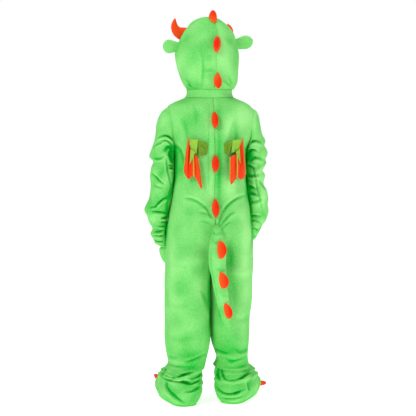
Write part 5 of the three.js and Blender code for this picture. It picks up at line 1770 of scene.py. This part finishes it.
for slot, (group, values, bump, numbers) in FINISHES.items():
    material = bpy.data.materials.new(slot)
    material.use_nodes = True
    tree = material.node_tree
    shader = tree.nodes["Principled BSDF"]
    finish = add(tree, "ShaderNodeGroup", node_tree=group)
    for key, value in values.items():
        finish.inputs[key].default_value = value
    for key, value in numbers.items():
        shader.inputs[key].default_value = value
    relief = add(tree, "ShaderNodeBump", {"Distance": bump, "Height": finish.outputs["Height"]})
    tree.links.new(finish.outputs["Color"], shader.inputs["Base Color"])
    tree.links.new(finish.outputs["Roughness"], shader.inputs["Roughness"])
    tree.links.new(relief.outputs["Normal"], shader.inputs["Normal"])
    MATERIALS[slot] = material
for piece, slot in PIECES:
    piece.data.materials.clear()
    piece.data.materials.append(MATERIALS[slot])
print("materials:", ", ".join(MATERIALS))

# %% [markdown]
# ## Floor and light
# The photograph has a white seamless ground and soft light from all round, with a little more
# from above and behind the camera. Three large area lights and a white world give that, over a
# plain pale floor.


# %% Studio
def area_light(name, place, aim, size, power_watts):
    data = bpy.data.lights.new(name, "AREA")
    data.shape, data.size, data.energy = "DISK", size, power_watts
    light = bpy.data.objects.new(name, data)
    light.location = place
    light.rotation_euler = (Vector(aim) - Vector(place)).to_track_quat("-Z", "Y").to_euler()
    bpy.context.scene.collection.objects.link(light)


# name, place, what it points at, size in metres and power in watts
LIGHTS = [
    ("key", (-2.2, -2.2, 1.9), (0, 0, -0.3), 1.2, 58),
    ("fill", (2.6, -2.4, 0.6), (0, 0, -0.4), 2.2, 26),
    ("top", (0.2, 0.4, 2.8), (0, 0, 0), 1.8, 30),
]
for row in LIGHTS:
    area_light(*row)
# The white world lights the cloth at AMBIENT, and the camera sees it at full white
AMBIENT = 0.42
world = bpy.data.worlds.new("white_room")
world.use_nodes = True
sky = world.node_tree.nodes["Background"]
sky.inputs["Color"].default_value = (1, 1, 1, 1)
seen = add(world.node_tree, "ShaderNodeLightPath").outputs["Is Camera Ray"]
unlit = calc(world.node_tree, "MULTIPLY", seen, 1 - AMBIENT)
glow = calc(world.node_tree, "ADD", unlit, AMBIENT)
world.node_tree.links.new(glow, sky.inputs["Strength"])
bpy.context.scene.world = world
bpy.context.scene.view_settings.view_transform = "Standard"

FLOOR_RADIUS, FLOOR_DROP, FLOOR_SIDES = 7.0, 0.0005, 96
angle = np.linspace(0, 2 * np.pi, FLOOR_SIDES, endpoint=False)
rim = np.stack([FLOOR_RADIUS * np.cos(angle), FLOOR_RADIUS * np.sin(angle)], -1)
level = -HOLD_HEIGHT / 1e3 - FLOOR_DROP
floor_mesh = bpy.data.meshes.new("floor")
floor_mesh.from_pydata([(x, y, level) for x, y in rim], [], [tuple(range(len(rim)))])
floor = bpy.data.objects.new("floor", floor_mesh)
bpy.context.scene.collection.objects.link(floor)
floor_material = bpy.data.materials.new("pale_floor")
floor_material.use_nodes = True
floor_shader = floor_material.node_tree.nodes["Principled BSDF"]
floor_shader.inputs["Base Color"].default_value = (0.93, 0.93, 0.93, 1)
floor_shader.inputs["Roughness"].default_value = 0.9
# A lit paper ground, as in a product photograph: it glows a little, so it stays white
floor_shader.inputs["Emission Color"].default_value = (1, 1, 1, 1)
floor_shader.inputs["Emission Strength"].default_value = 0.6
floor_mesh.materials.append(floor_material)

# %% Sizes and the end
for name, flat, area in TALLY:
    print(f"{name}: cut {flat[0]:.3f} x {flat[1]:.3f} m, {area:.4f} m2")
